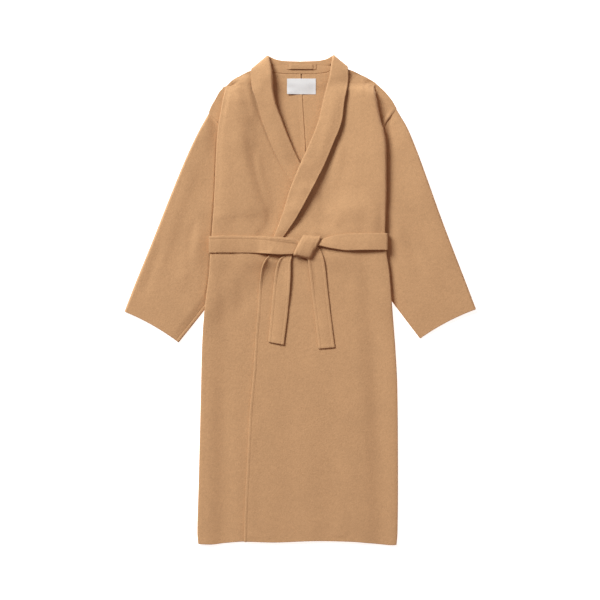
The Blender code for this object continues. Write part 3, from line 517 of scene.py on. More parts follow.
def air(x, y):
    """The room between two panels, none where both are folded into the pleat."""
    tight = 0.0
    for side, sign in SIDES.items():
        tight = tight + ease((x * sign - (inner_fold(y) - 30)) / 30) * ease((np.asarray(y, float) - 190) / 40)
    return AIR * (1 - tight)


def under_height(x, y):
    return back_height(x, y) + LAYER + air(x, y) + edge_rise("right", x, y) + neck_rise("right", x, y)


def under_there(x, y):
    """1 over the right front, 0 past its hidden edge."""
    return ease((front_edge["right"](y) + 75 - x) / 50)


def under_collar_there(x, y):
    """1 over the hidden part of the right half of the collar."""
    roll = along(COLLAR_RIGHT_FRONT, "roll_y", "roll_out")(y)
    edge = along(COLLAR_RIGHT_FRONT, "roll_y", "edge_out")(y)
    return ease((x + edge + 24) / 22) * ease((24 - roll - x) / 22) * ease((y - 140) / 22) * ease((372 - y) / 30)


COLLAR_RIGHT_FRONT = {k: v[8:] for k, v in COLLAR_RIGHT.items()}


def over_height(x, y):
    return (
        back_height(x, y)
        + LAYER
        + air(x, y)
        + (LAYER + AIR) * under_there(x, y)
        + LAYER * under_collar_there(x, y)
        + edge_rise("left", x, y)
        + neck_rise("left", x, y)
    )


front_height = {"left": over_height, "right": under_height}


# ---------------------------------------------------------------- heights seen from above

CELL = 2.0
MAP_LOW = (-450.0, -620.0)
MAP_SHAPE = (621, 451)
top_map = np.zeros(MAP_SHAPE)


def finer(grid, times):
    """The same surface with more points between its own."""
    rows, cols = grid.shape[:2]
    r = np.linspace(0, rows - 1, (rows - 1) * times + 1)
    c = np.linspace(0, cols - 1, (cols - 1) * times + 1)
    r0 = np.minimum(r.astype(int), rows - 2)
    c0 = np.minimum(c.astype(int), cols - 2)
    fr, fc = (r - r0)[:, None, None], (c - c0)[None, :, None]
    upper = grid[r0][:, c0] * (1 - fc) + grid[r0][:, c0 + 1] * fc
    lower = grid[r0 + 1][:, c0] * (1 - fc) + grid[r0 + 1][:, c0 + 1] * fc
    return upper * (1 - fr) + lower * fr


def cover(grid, rise=WALL / 2, times=3):
    """Marks a piece's upper face in the map of what is uppermost so far."""
    p = finer(np.asarray(grid, float), times).reshape(-1, 3)
    ix = np.clip(np.rint((p[:, 0] - MAP_LOW[0]) / CELL).astype(int), 0, MAP_SHAPE[1] - 1)
    iy = np.clip(np.rint((p[:, 1] - MAP_LOW[1]) / CELL).astype(int), 0, MAP_SHAPE[0] - 1)
    np.maximum.at(top_map, (iy, ix), p[:, 2] + rise)


def envelope(reach):
    """A smooth surface over everything so far, never below it, that bridges gaps of about reach."""
    n = max(int(round(reach / CELL)), 1)
    wide = np.pad(top_map, n, mode="edge")
    best = wide[:, n : n + MAP_SHAPE[1]].copy()
    for k in range(2 * n + 1):
        best = np.maximum(best, wide[:, k : k + MAP_SHAPE[1]])
    out = best[n : n + MAP_SHAPE[0]].copy()
    for k in range(2 * n + 1):
        out = np.maximum(out, best[k : k + MAP_SHAPE[0]])
    kernel = np.exp(-0.5 * (np.arange(-n, n + 1) / (0.55 * n)) ** 2)
    kernel /= kernel.sum()
    wide = np.pad(out, n, mode="edge")
    across = sum(w * wide[:, k : k + MAP_SHAPE[1]] for k, w in enumerate(kernel))
    return sum(w * across[k : k + MAP_SHAPE[0]] for k, w in enumerate(kernel))


def read_map(values, x, y):
    fx = np.clip((x - MAP_LOW[0]) / CELL, 0, MAP_SHAPE[1] - 1.001)
    fy = np.clip((y - MAP_LOW[1]) / CELL, 0, MAP_SHAPE[0] - 1.001)
    ix, iy = fx.astype(int), fy.astype(int)
    fx, fy = fx - ix, fy - iy
    return (
        values[iy, ix] * (1 - fx) * (1 - fy)
        + values[iy, ix + 1] * fx * (1 - fy)
        + values[iy + 1, ix] * (1 - fx) * fy
        + values[iy + 1, ix + 1] * fx * fy
    )


def soft_max(a, b, width=0.8):
    """The larger of two heights, without a kink where they change over."""
    d = np.clip((a - b) / width, -1, 1)
    return np.where(np.abs(a - b) >= width, np.maximum(a, b), (a + b) / 2 + width * (1 + d * d) / 4)


# ---------------------------------------------------------------- relief of the cloth

# Creases placed one by one. A ridge stands up, a trough is pressed in, and a step is
# high on its left as its points run, and falls away on its right.
CREASES = {
    "front_right": (
        # kind, size, width, open ends, points
        ("step", 3.6, 13.0, "ab", ((-92, 158), (-80, 205), (-104, 264), (-121, 322), (-134, 399), (-147, 449))),
        ("trough", 3.4, 7.5, "a", ((-76, 232), (-71, 206), (-72, 184), (-84, 166), (-96, 157))),
        ("step", 1.6, 16.0, "ab", ((-134, 350), (-146, 420), (-157, 492))),
        ("ridge", 4.6, 17.0, "ab", ((-100, 527), (-136, 519), (-168, 506))),
        ("step", 3.6, 17.0, "ab", ((-92, 350), (-112, 400), (-129, 450), (-141, 490), (-146, 532))),
        ("ridge", 1.8, 22.0, "ab", ((-176, 180), (-180, 280), (-176, 380))),
        ("step", 4.0, 8.0, "a", ((-98, 415), (-110, 455), (-119, 500), (-127, 545))),
        ("trough", 2.0, 3.2, "ab", ((-109, 485), (-94, 434), (-74, 384), (-47, 325), (-25, 285))),
        ("trough", 1.2, 13.0, "ab", ((-186, 96), (-188, 30), (-182, -80))),
        ("trough", 1.2, 14.0, "ab", ((-146, 60), (-140, 10), (-144, -40))),
        ("trough", 1.3, 22.0, "a", ((-192, -160), (-184, -300), (-176, -440), (-182, -590))),
        ("ridge", 1.2, 22.0, "a", ((-214, -120), (-212, -300), (-216, -590))),
        ("ridge", 0.8, 20.0, "a", ((-152, -90), (-154, -260), (-150, -420), (-152, -590))),
    ),
    "front_left": (
        ("ridge", 5.4, 18.0, "ab", ((92, 524), (130, 517), (168, 506))),
        ("step", 1.5, 10.0, "ab", ((36, 232), (62, 204), (88, 186), (118, 178))),
        ("step", 1.3, 9.0, "ab", ((44, 206), (66, 184), (92, 168))),
        ("trough", 0.9, 14.0, "ab", ((112, 108), (116, 70), (112, 20))),
        ("trough", 2.4, 8.5, "ab", ((-50, 100), (-56, 62), (-61, 24), (-68, -50), (-74, -105))),
        ("trough", 7.6, 8.5, "ab", ((-96, 106), (-72, 107), (-50, 107), (-34, 105))),
        ("trough", 0.8, 12.0, "ab", ((88, 106), (92, 66), (90, 40))),
        ("trough", 0.7, 30.0, "ab", ((100, 430), (118, 360), (132, 280))),
        ("ridge", 0.8, 32.0, "a", ((22, -130), (16, -300), (24, -440), (18, -590))),
        ("ridge", 0.8, 36.0, "a", ((122, -90), (130, -260), (124, -420), (132, -590))),
        ("trough", 0.8, 30.0, "a", ((70, -160), (72, -320), (66, -590))),
        ("trough", 0.9, 26.0, "a", ((186, -40), (192, -220), (188, -400), (194, -590))),
        ("ridge", 0.7, 28.0, "a", ((-58, -200), (-64, -380), (-70, -590))),
    ),
    "sleeve_right": (
        ("step", 2.4, 16.0, "ab", ((-350, 30), (-318, 120), (-282, 226), (-256, 300), (-234, 352))),
        ("ridge", 1.6, 16.0, "ab", ((-300, 10), (-258, 110), (-230, 190))),
        ("trough", 1.6, 12.0, "ab", ((-382, 0), (-352, 80), (-322, 160))),
        ("trough", 1.4, 10.0, "a", ((-246, 210), (-262, 150), (-268, 80))),
    ),
    "sleeve_left": (
        ("step", 1.8, 20.0, "ab", ((236, 330), (262, 270), (300, 170), (336, 60))),
        ("ridge", 1.4, 18.0, "ab", ((262, 330), (310, 220), (352, 110), (382, 20))),
        ("trough", 1.4, 14.0, "ab", ((248, 190), (272, 110), (300, 20))),
    ),
    "collar_right": (
        ("trough", 1.2, 12.0, "ab", ((-88, 520), (-86, 480), (-74, 440))),
        ("ridge", 1.0, 14.0, "ab", ((-70, 420), (-44, 372), (-20, 330))),
    ),
    "collar_left": (
        ("ridge", 1.4, 16.0, "ab", ((92, 520), (80, 450), (56, 390), (36, 330))),
        ("trough", 1.2, 12.0, "ab", ((62, 440), (44, 380), (24, 320))),
        ("ridge", 1.0, 12.0, "ab", ((16, 290), (2, 250), (-12, 210))),
    ),
    # on the hidden side, which lies on the floor, only folds that stand off it
    "back_right": (
        ("ridge", 2.4, 12.0, "ab", ((-60, 60), (-72, -60), (-66, -180))),
        ("ridge", 2.0, 10.0, "ab", ((-150, 60), (-162, -40), (-158, -150))),
        ("ridge", 2.6, 14.0, "a", ((-108, -210), (-116, -380), (-110, -590))),
        ("ridge", 1.8, 11.0, "a", ((-196, -280), (-202, -420), (-198, -590))),
        ("ridge", 2.2, 12.0, "ab", ((-70, 200), (-98, 290), (-112, 390))),
    ),
    "back_left": (
        ("ridge", 2.3, 12.0, "ab", ((52, 70), (60, -50), (52, -170))),
        ("ridge", 2.6, 13.0, "a", ((96, -180), (106, -340), (98, -590))),
        ("ridge", 1.9, 11.0, "ab", ((160, 40), (170, -80), (164, -200))),
        ("ridge", 2.0, 10.0, "a", ((190, -330), (196, -470), (192, -590))),
        ("ridge", 2.1, 12.0, "ab", ((64, 210), (92, 300), (104, 400))),
    ),
}


def uneven(x, y, seed, cell, amount):
    """Low, slow unevenness, as in cloth that has been smoothed out by hand."""
    noise = np.random.default_rng(seed).uniform(-1, 1, (40, 40))
    fx, fy = (x + 500) / cell + 0.37 * seed % 1, (y + 700) / cell + 0.61 * seed % 1
    ix, iy = np.floor(fx).astype(int) % 38, np.floor(fy).astype(int) % 38
    tx, ty = ease(fx - np.floor(fx)), ease(fy - np.floor(fy))
    low = noise[iy, ix] * (1 - tx) + noise[iy, ix + 1] * tx
    high = noise[iy + 1, ix] * (1 - tx) + noise[iy + 1, ix + 1] * tx
    return amount * (low * (1 - ty) + high * ty)


def smooth_line(points, step=3.0):
    """An evenly spaced smooth line through a few points."""
    p = np.array(points, float)
    run = np.concatenate([[0], np.cumsum(np.hypot(*np.diff(p, axis=0).T))])
    n = max(int(run[-1] / step), 8)
    at = np.linspace(0, run[-1], n)
    line = np.stack([np.interp(at, run, p[:, 0]), np.interp(at, run, p[:, 1])], axis=1)
    for _ in range(max(int(18 / step), 2)):
        line[1:-1] = 0.25 * line[:-2] + 0.5 * line[1:-1] + 0.25 * line[2:]
    return line


def relief(piece, x, y):
    """What the creases of a piece add to its height."""
    total = np.zeros(x.shape)
    for kind, size, width, ends, points in CREASES.get(piece, ()):
        line = smooth_line(points)
        tangent = np.gradient(line, axis=0)
        tangent /= np.maximum(np.hypot(tangent[:, 0], tangent[:, 1]), 1e-9)[:, None]
        far = 6.5 * width
        near = (
            (x > line[:, 0].min() - far)
            & (x < line[:, 0].max() + far)
            & (y > line[:, 1].min() - far)
            & (y < line[:, 1].max() + far)
        )
        if not near.any():
            continue
        px, py = x[near], y[near]
        best = np.full(px.shape, 1e9)
        which = np.zeros(px.shape, int)
        for i, (lx, ly) in enumerate(line):
            d = (px - lx) ** 2 + (py - ly) ** 2
            closer = d < best
            best[closer] = d[closer]
            which[closer] = i
        d = np.sqrt(best)
        t = tangent[which]
        q = np.stack([px, py], axis=-1) - line[which]
        side = t[:, 0] * q[:, 1] - t[:, 1] * q[:, 0]
        share = which / (len(line) - 1)
        fade = 1.0
        if "a" in ends:
            fade = fade * ease(share / 0.3)
        if "b" in ends:
            fade = fade * ease((1 - share) / 0.3)
        past = np.abs(t[:, 0] * q[:, 0] + t[:, 1] * q[:, 1])
        fade = fade * np.exp(-((past / (2.5 * width)) ** 2))
        if kind == "ridge":
            shape = np.exp(-((d / width) ** 2))
        elif kind == "trough":
            shape = -np.exp(-((d / width) ** 2))
        else:
            shape = ease((side + width) / (2 * width)) * np.exp(-np.maximum(side, 0) / (4.5 * width))
            shape = shape - 0.22 * np.exp(-(((side + 1.6 * width) / width) ** 2))
        total[near] += size * fade * shape
    return total


def bead(d, rise=0.44, groove=0.09, wide=6.6):
    """The thick turned edge of the cloth and the groove of its stitching, by distance from the edge."""
    edge = rise * ease(d / 1.8) * (1 - ease((d - (wide - 1.5)) / 1.5))
    return edge - groove * np.exp(-(((d - wide - 0.4) / 1.25) ** 2))


# ---------------------------------------------------------------- shells

EDGE = np.array([1.1, 2.0, 3.2, 4.4, 5.2, 5.8, 6.3, 6.8, 7.4, 8.2, 9.4, 11.6, 15.0, 20.0])


def unit(v):
    return v / np.maximum(np.linalg.norm(v, axis=-1, keepdims=True), 1e-9)


def normals_of(grid, closed=False):
    down = np.gradient(grid, axis=0)
    if closed:
        across = np.roll(grid, -1, axis=1) - np.roll(grid, 1, axis=1)
    else:
        across = np.gradient(grid, axis=1)
    return unit(np.cross(across, down))


def shell(node, grid, wall=WALL, over=0.0, under=0.0, closed=False, up=True, slot="wool"):
    """A closed thin shell with round edges, on a grid of middle points.

    over and under are added to the face that its normal points out of and to the other.
    """
    grid = np.asarray(grid, float)
    rows, cols = grid.shape[:2]
    normal = normals_of(grid, closed)
    if up and np.median(normal[..., 2]) < 0:
        normal = -normal
    half = np.broadcast_to(np.asarray(wall, float) / 2, (rows, cols))
    face_a = grid + normal * (half + over)[..., None]
    face_b = grid - normal * (half + under)[..., None]
    index = np.arange(rows * cols).reshape(rows, cols)
    lower = index + rows * cols
    right = (lambda a: np.roll(a, -1, axis=1)) if closed else (lambda a: a[:, 1:])
    left = (lambda a: a) if closed else (lambda a: a[:, :-1])

    def quads(a):
        return np.stack([left(a)[:-1], right(a)[:-1], right(a)[1:], left(a)[1:]], axis=-1).reshape(-1, 4)

    points = [face_a.reshape(-1, 3), face_b.reshape(-1, 3)]
    faces = [quads(index), quads(lower)[:, ::-1]]
    count = 2 * rows * cols

    def rim(a_index, b_index, outward, loop):
        """Quads round an edge, through three points between its two faces."""
        nonlocal count
        a = face_a.reshape(-1, 3)[a_index]
        b = face_b.reshape(-1, 3)[a_index]
        middle, arm = (a + b) / 2, (a - b) / 2
        radius = np.linalg.norm(arm, axis=1, keepdims=True)
        strips = [a_index]
        for angle in (45, 90, 135):
            t = math.radians(angle)
            points.append(middle + arm * math.cos(t) + outward * radius * math.sin(t))
            strips.append(np.arange(len(a_index)) + count)
            count += len(a_index)
        strips.append(b_index)
        for s, e in zip(strips[:-1], strips[1:]):
            n = len(s) if loop else len(s) - 1
            k = np.arange(n)
            j = (k + 1) % len(s)
            faces.append(np.stack([s[j], s[k], e[k], e[j]], axis=-1))

    if closed:
        for r, inner in ((0, 1), (rows - 1, rows - 2)):
            out = unit(grid[r] - grid[inner])
            order = np.arange(cols) if r == 0 else np.arange(cols)[::-1]
            rim(index[r][order], lower[r][order], out[order], True)
    else:
        out = np.zeros_like(grid)
        out[0] += unit(grid[0] - grid[1])
        out[-1] += unit(grid[-1] - grid[-2])
        out[:, 0] += unit(grid[:, 0] - grid[:, 1])
        out[:, -1] += unit(grid[:, -1] - grid[:, -2])
        out = unit(out).reshape(-1, 3)
        loop = np.concatenate([index[0, :-1], index[:-1, -1], index[-1, :0:-1], index[:0:-1, 0]])
        rim(loop, loop + rows * cols, out[loop], True)

    points = (np.concatenate(points) + np.array(SHIFT)) * MM
    points[:, 2] = np.maximum(points[:, 2], 0.0)
    faces = np.concatenate(faces)
    tri = np.concatenate([faces[:, :3], faces[:, [0, 2, 3]]])
    a, b, c = points[tri[:, 0]], points[tri[:, 1]], points[tri[:, 2]]
    if np.einsum("ij,ij->i", a, np.cross(b, c)).sum() < 0:
        faces = faces[:, ::-1]
    name = "cloth_" + node
    mesh = bpy.data.meshes.new(name)
    mesh.vertices.add(len(points))
    mesh.vertices.foreach_set("co", points.astype(np.float32).ravel())
    mesh.loops.add(faces.size)
    mesh.loops.foreach_set("vertex_index", faces.astype(np.int32).ravel())
    mesh.polygons.add(len(faces))
    mesh.polygons.foreach_set("loop_start", np.arange(0, faces.size, 4, dtype=np.int32))
    mesh.update(calc_edges=True)
    mesh.validate()
    mesh.shade_smooth()
    obj = bpy.data.objects.new(name, mesh)
    bpy.context.scene.collection.objects.link(obj)
    mesh.materials.append(MATERIALS[slot])
    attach(obj, "root")
    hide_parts(node)
    return obj


# ---------------------------------------------------------------- body panels

N_MAIN = {"front": 62, "back": 46}
N_PATH = (9, 6, 6, 10)
TOPS = {
    "front": (84.0, 90.0, 96.0, 103.0, 110.0, 118.0, 127.0, 134.0),
    "back": (1.25, 34.0, 62.0, 73.0, 84.0, 116.0),
}
CAD_INNER = {"front": 4, "back": 2}
PRESSED = 0.45
TOP_OUT = list(BACK_TOP_OUT) + [84.0]
TOP_Y = list(BACK_TOP_Y) + [569.7]


def path_points(p, s):
    """Where the pleat's path is, s along it: outwards from the edge, drop, and its normal."""
    turn, a, run, c = p["turn"], p["outer_len"], p["run"], p["inner_len"]
    start = -p["outer_r"] * math.sin(min(turn, math.pi / 2)) if turn > 1e-6 else -a
    if turn < 1e-6:
        return start + s, 0 * s, 0 * s, 1 + 0 * s
    angle = turn * np.clip(s, 0, a) / a
    t = start + np.minimum(s, 0) + p["outer_r"] * np.sin(angle)
    # pressed flatter on top than a round fold
    t = t + PRESSED * p["outer_r"] * (1 - np.sin(np.minimum(angle, math.pi / 2)))
    z = -p["outer_r"] * (1 - np.cos(angle))
    step = np.clip(s - a, 0, run)
    t = t + step * math.cos(turn)
    z = z - step * math.sin(turn)
    back = turn * np.clip(s - a - run, 0, c) / c
    t = t + p["inner_r"] * (math.sin(turn) - np.sin(turn - back))
    z = z - p["inner_r"] * (np.cos(turn - back) - math.cos(turn))
    t = t + np.maximum(s - a - run - c, 0)
    return t, z, np.sin(angle - back), np.cos(angle - back)


def ear_reach(side, y):
    """How far out the ear of body cloth outside the pleat goes: armhole seam, then shoulder."""
    if y <= ARMHOLE_TOP[side]:
        return between(ARMHOLE[side], y)
    outs = np.linspace(140, 236, 200)
    return float(np.interp(y, shoulder_y[side](outs)[::-1], outs[::-1]))


def path_end(side, y, layer):
    """How long the pleat's path is at height y."""
    p = fold_path(side, y)
    a, run, c = p["outer_len"], p["run"], p["inner_len"]

    def with_ear(y):
        q = fold_path(side, y)
        inner_end = q["outer_len"] + q["run"] + q["inner_len"]
        t = float(path_points(q, np.array(inner_end))[0])
        return inner_end + max(ear_reach(side, y) - (float(edge_out[side](y)) - WALL / 2) - t, 1.0)

    if y >= 372:
        return p, with_ear(y)
    if y >= 352:
        q = fold_path(side, 352.01)
        low = q["outer_len"] + q["run"] - (3.5 if layer == "front" else 0.0)
        return p, low + (with_ear(372) - low) * (y - 352) / 20
    return p, a + float(tuck[layer](y))


def path_places(p, end, y, layer):
    """Distances along the path that get a column."""
    a, run, c = p["outer_len"], p["run"], p["inner_len"]
    marks = [0.0, a, a + run, a + run + c, end]
    for k in range(1, 5):
        marks[k] = max(marks[k], marks[k - 1] + 0.25 * N_PATH[k - 1])
    s = [0.0]
    for k in range(4):
        s += list(marks[k] + (marks[k + 1] - marks[k]) * np.arange(1, N_PATH[k] + 1) / N_PATH[k])
    s = np.array(s)
    last = end - (2.6 if layer == "back" and y >= 372 else 1.1)
    limit = last - 0.32 * np.arange(len(s) - 1, -1, -1)
    return np.minimum(s, limit)


def main_line(side, y, inner, inner_columns, last):
    """Where the solid's own columns are, from the panel's inner edge to the pleat's path."""
    fold = min(float(inner_fold(y)), last - 8)
    start = max(fold - TAPER, inner + 24)
    line = [inner + (start - inner) * k / inner_columns for k in range(inner_columns)]
    return line + [start + (fold - start) * k / 3 for k in range(4)]


def row_heights(side):
    hem = [-586.9, -585.9, -584.8, -583.4, -581.6, -579.0]
    body = list(np.arange(-574.5, 350, 4.9))
    fold = list(np.arange(352, 372, 4.0)) + [372.0]
    ear = list(np.arange(376.5, SHOULDER_POINT[side] - 48, 4.2))
    top = list(np.linspace(SHOULDER_POINT[side] - 46, SHOULDER_POINT[side], 16))
    return np.array(hem + body + fold + ear + top)


def panel_grid(side, layer, inner_out, height, extra):
    """A body panel as rows of middle points from the hem to its shoulder, with its relief."""
    sign = SIDES[side]
    offset = 0.0 if layer == "front" else -LAYER
    n_main = N_MAIN[layer]
    rows = []
    ys = row_heights(side)
    share = np.linspace(0, 1, n_main + 1)[:-1]
    for y in ys:
        p, end = path_end(side, y, layer)
        s = path_places(p, end, y, layer)
        edge = float(edge_out[side](y)) - WALL / 2
        t, drop, nt, nz = path_points(p, s)
        flat_end = s[-1] < 0.6 * p["outer_len"]
        inner = inner_out(y)
        first = edge + t[0]
        near = inner + EDGE
        far_u = np.linspace(0, 1, n_main - len(EDGE) + 1)[1:-1]
        span = first - near[-1]
        line = np.concatenate([near, near[-1] + span * far_u])
        if span < 12:
            line = inner + EDGE[0] + (first - inner - EDGE[0]) * np.linspace(0, 1, n_main)[:-1]
        x = line * sign
        z = height(x, np.full_like(x, y))
        fade = ease((first - line) / 14.0)
        base = float(front_height[side](np.array(edge * sign), np.array(y))) if layer == "front" else float(
            back_height(np.array(edge * sign), np.array(y))
        ) + LAYER
        out = edge + t + offset * nt
        pz = base + drop + offset * nz
        if flat_end:
            pz = height(out * sign, np.full_like(out, y))
        add = extra(x, np.full_like(x, y)) * fade
        if layer == "front" and y > 372:
            off = s[-1] - s
            hold = ease((y - 372) / 16) * ease((ARMHOLE_TOP[side] + 4 - y) / 26)
            pz = pz + EAR_RIDGE[side] * hold * np.exp(-(((off - 4.6) / 5.0) ** 2)) * ease((off + 0.5) / 4.0)
        main = np.stack([x, np.full_like(x, y), z + add], axis=1)
        path = np.stack([out * sign, np.full_like(out, y), pz], axis=1)
        rows.append(np.concatenate([main, path]))
    grid = np.array(rows)
    # The hem follows its own line
    bend = ease(1 - (grid[:, :, 1] + 588) / 60)
    grid[:, :, 1] += bend * (hem_y(grid[:, :, 0]) + 588)
    # Above the shoulder point the rows close up to the shoulder seam and the neckline
    base = grid[-1]
    outs = base[:, 0] * sign
    n_line = n_main - 1
    cad = np.array(main_line(side, ys[-1], inner_out(ys[-1]), CAD_INNER[layer], outs[n_line]))
    tops = np.array(TOPS[layer])
    if layer == "back":
        tops[0] += sign * float(back_seam(560.0))
    tx = np.interp(outs[:n_line], cad, tops)
    tx = np.concatenate([tx, np.linspace(max(tx[-1] + 0.5, 140.5), 150.0, len(outs) - n_line)])
    if layer == "front":
        ty = shoulder_y[side](tx)
    else:
        lower = 3.5 * ease((tx - 84) / 12) * ease((134 - tx) / 14)
        ty = np.where(tx <= 84, np.interp(tx, TOP_OUT, TOP_Y), shoulder_y[side](tx) - lower)
    shares = np.concatenate([np.linspace(0, 1, 15)[1:-1], [0.965, 0.985, 1.0]])
    columns = np.arange(len(outs))
    hold = ease((columns - (len(outs) - 26)) / 25)
    patch = []
    for u in shares:
        px, py = outs + (tx - outs) * u, base[:, 1] + (ty - base[:, 1]) * u
        line_y = shoulder_y[side](px[-1])
        py = py + hold * (line_y - py[-1])
        length = np.hypot(tx - outs, ty - base[:, 1])
        py = py - 1.1 * ease(u / 0.9)
        pz = height(px * sign, py)
        patch.append(np.stack([px * sign, py, pz], axis=1))
    patch = np.array(patch)
    patch[:, :, 2] += extra(patch[:, :, 0], patch[:, :, 1]) * ease((1 - shares) / 0.5)[:, None]
    # meets the last full row without a step
    gap = (base[:, 2] - patch[0, :, 2])[None, :] * ease(1 - np.arange(len(shares)) / 5.0)[:, None]
    patch[:, :, 2] += gap
    return np.concatenate([grid, patch]), n_line


def inner_distance(grid, side, inner):
    """Distance of each point from the panel's inner edge, across."""
    return grid[:, :, 0] * SIDES[side] - inner(grid[:, :, 1])


def steep(side, tab):
    """How much nearer an edge is than it is across, for an edge that slants."""
    return lambda y: 1 / np.sqrt(1 + ((tab(y + 4) - tab(y - 4)) / 8) ** 2)


def plateau(x, y, side, inner, rise, width=42.0):
    """The cloth's own fullness: it stands off a little between its edges."""
    out = x * SIDES[side]
    a = ease((out - inner(y)) / width)
    b = ease((edge_out[side](y) - 8 - out) / width)
    c = ease((y + 588) / 60) * ease((shoulder_y[side](np.clip(out, 84, 232)) - y) / width)
    return rise * a * b * c


# ---------------------------------------------------------------- sleeves


# How high the sleeve's upper side stands over its lower one, from the armhole to the cuff
CROWN = table(
    "k    right  left",
    (0, 0.0, 0.0),
    (0.4, 6.6, 1.6),
    (1, 8.2, 1.8),
    (2, 7.6, 1.2),
    (4, 6.8, 0.8),
    (6, 5.4, 0.8),
    (7, 4.0, 0.8),
    (8, 2.0, 1.0),
)
SLEEVE_CROWN = {s: along(CROWN, "k", s) for s in SIDES}
OUTER_ROUND = {"right": 5.0, "left": 4.0}
# How much higher it is towards its outer edge
TILT = {"right": 0.6, "left": 6.0}
# How high the body's cloth stands along the armhole seam
EAR_RIDGE = {"right": 1.3, "left": 4.2}
# How much it dips beside the body's edge
DIP = table(
    "k    right left  wide",
    (0, 3.6, 2.0, 30.0),
    (0.5, 6.0, 3.4, 30.0),
    (1, 5.4, 3.0, 36.0),
    (2, 3.4, 1.4, 74.0),
    (3, 3.0, 1.0, 70.0),
    (4, 3.0, 1.0, 40.0),
    (5, 3.2, 1.0, 30.0),
    (6, 1.6, 1.0, 30.0),
    (8, 0.0, 0.0, 30.0),
)
DIP_BY_BODY = {s: along(DIP, "k", s) for s in SIDES}
DIP_WIDE = along(DIP, "k", "wide")


def sleeve_grid(side):
    """Rings of middle points from the armhole seam to the cuff, flattened, with its fullness."""
    sign = SIDES[side]
    rows = SLEEVE[side]
    count = len(rows["puff"])
    armhole = [(out + 1.0, y - 0.6) for out, y in ARMHOLE[side]]
    armhole[-1] = (rows["outer_out"][0] - 1.0, rows["outer_y"][0])
    armhole = np.array(armhole)
    index = {"k": np.arange(count, dtype=float)}
    index.update(rows)
    curves = {n: along(index, "k", n) for n in rows}
    m = 50
    edge_steps = np.array([0.0, 1.0, 2.2, 3.6, 5.0, 6.2, 7.0, 7.6, 8.3, 9.4, 11.4, 14.5])
    ks = np.concatenate([[0.0, 0.01, 0.025, 0.05], np.linspace(0.08, count - 1.06, 104), count - 1 - np.array([0.035, 0.02, 0.008, 0.0])])
    rings, flats = [], []
    for k in ks:
        outer = np.array([curves["outer_out"](k), curves["outer_y"](k)])
        inner = np.array([curves["inner_out"](k), curves["inner_y"](k)])
        length = np.hypot(*(outer - inner))
        a = edge_steps / length
        steps = np.concatenate([a, np.linspace(a[-1], 1 - a[-1], m)[1:-1], 1 - a[::-1]])
        line = inner + (outer - inner) * steps[:, None]
        if k < 1:
            start = np.stack([np.interp(steps * (len(armhole) - 1), np.arange(len(armhole)), armhole[:, i]) for i in (0, 1)], axis=1)
            w = float(ease(1 - k))
            begin = np.array([rows["inner_out"][0], rows["inner_y"][0]]), np.array([rows["outer_out"][0], rows["outer_y"][0]])
            straight = begin[0] + (begin[1] - begin[0]) * steps[:, None]
            line = line + (start - straight) * w
        w = float(ease((k - (count - 2)) / 1.0))
        downwards = np.array([outer[1] - inner[1], inner[0] - outer[0]])
        downwards = -downwards / np.linalg.norm(downwards) * np.sign(downwards[1])
        line = line - np.outer(CUFF_BOW * 4 * steps * (1 - steps), downwards) * w
        across = unit(line[-1] - line[0])
        radius = LAYER / 2
        edge = edge_out[side](line[:, 1])
        # full towards its outer edge, and down to the body's edge that it goes under
        away_from_body = line[:, 0] - edge
        fold_side = ease((away_from_body + 1.5) / 3.0)
        outer_side = np.sin(np.pi / 2 * np.clip((1 - steps) * length / OUTER_ROUND[side], 0, 1)) ** 0.8
        inner_side = ease(steps * length / 26.0)
        clear = np.minimum(fold_side, inner_side) * outer_side
        crown = float(SLEEVE_CROWN[side](k))
        puff = (crown + TILT[side] * steps * ease(k / 1.5)) * clear
        away = away_from_body
        dip = float(DIP_BY_BODY[side](k)) * (1 - ease(away / float(DIP_WIDE(k)))) * inner_side
        across_u = np.clip((1 - steps) * length / np.maximum((1 - steps) * length + away, 30.0), 0, 1)
        arch = 0.3 * 4 * across_u * (1 - across_u) * ease(k) * (away > 0)
        puff = np.maximum(puff - dip, 0) + (arch if side == "right" else 0.6 * arch)
        low, mid = WALL / 2, WALL / 2 + radius
        x, y = line[:, 0] * sign, line[:, 1]
        add = (relief("sleeve_" + side, x, y) + uneven(x, y, 11 if side == "left" else 12, 62.0, 0.9))
        room = clear * ease(k / 0.6)
        top = low + LAYER + np.maximum(puff + add * room, 0.0)
        pull = np.zeros_like(line)
        pull[0], pull[-1] = across * radius, -across * radius
        ring = [np.stack([x + pull[:, 0] * sign, y + pull[:, 1], top], axis=1)]
        for turn in (67, 45, 22, 0, -22, -45, -67):
            t = math.radians(turn)
            q = line[-1] - across * radius * (1 - math.cos(t))
            ring.append(np.array([[q[0] * sign, q[1], mid + radius * math.sin(t)]]))
        back = np.stack([x + pull[:, 0] * sign, y + pull[:, 1], np.full_like(x, low)], axis=1)[::-1]
        if k == 0:
            # the under layer's seam allowance reaches a little under the body's
            back = back + np.array([-1.3 * sign, 0.9, 0.0])
        ring.append(back)
        for turn in (-67, -45, -22, 0, 22, 45, 67):
            t = math.radians(turn)
            q = line[0] + across * radius * (1 - math.cos(t))
            ring.append(np.array([[q[0] * sign, q[1], mid + radius * math.sin(t)]]))
        rings.append(np.concatenate(ring))
        flats.append(np.concatenate([np.arange(len(steps)) * 0 + length * steps, np.full(7, length), (length * steps)[::-1], np.zeros(7)]))
    return np.array(rings), np.array(flats), len(steps)


# ---------------------------------------------------------------- collar


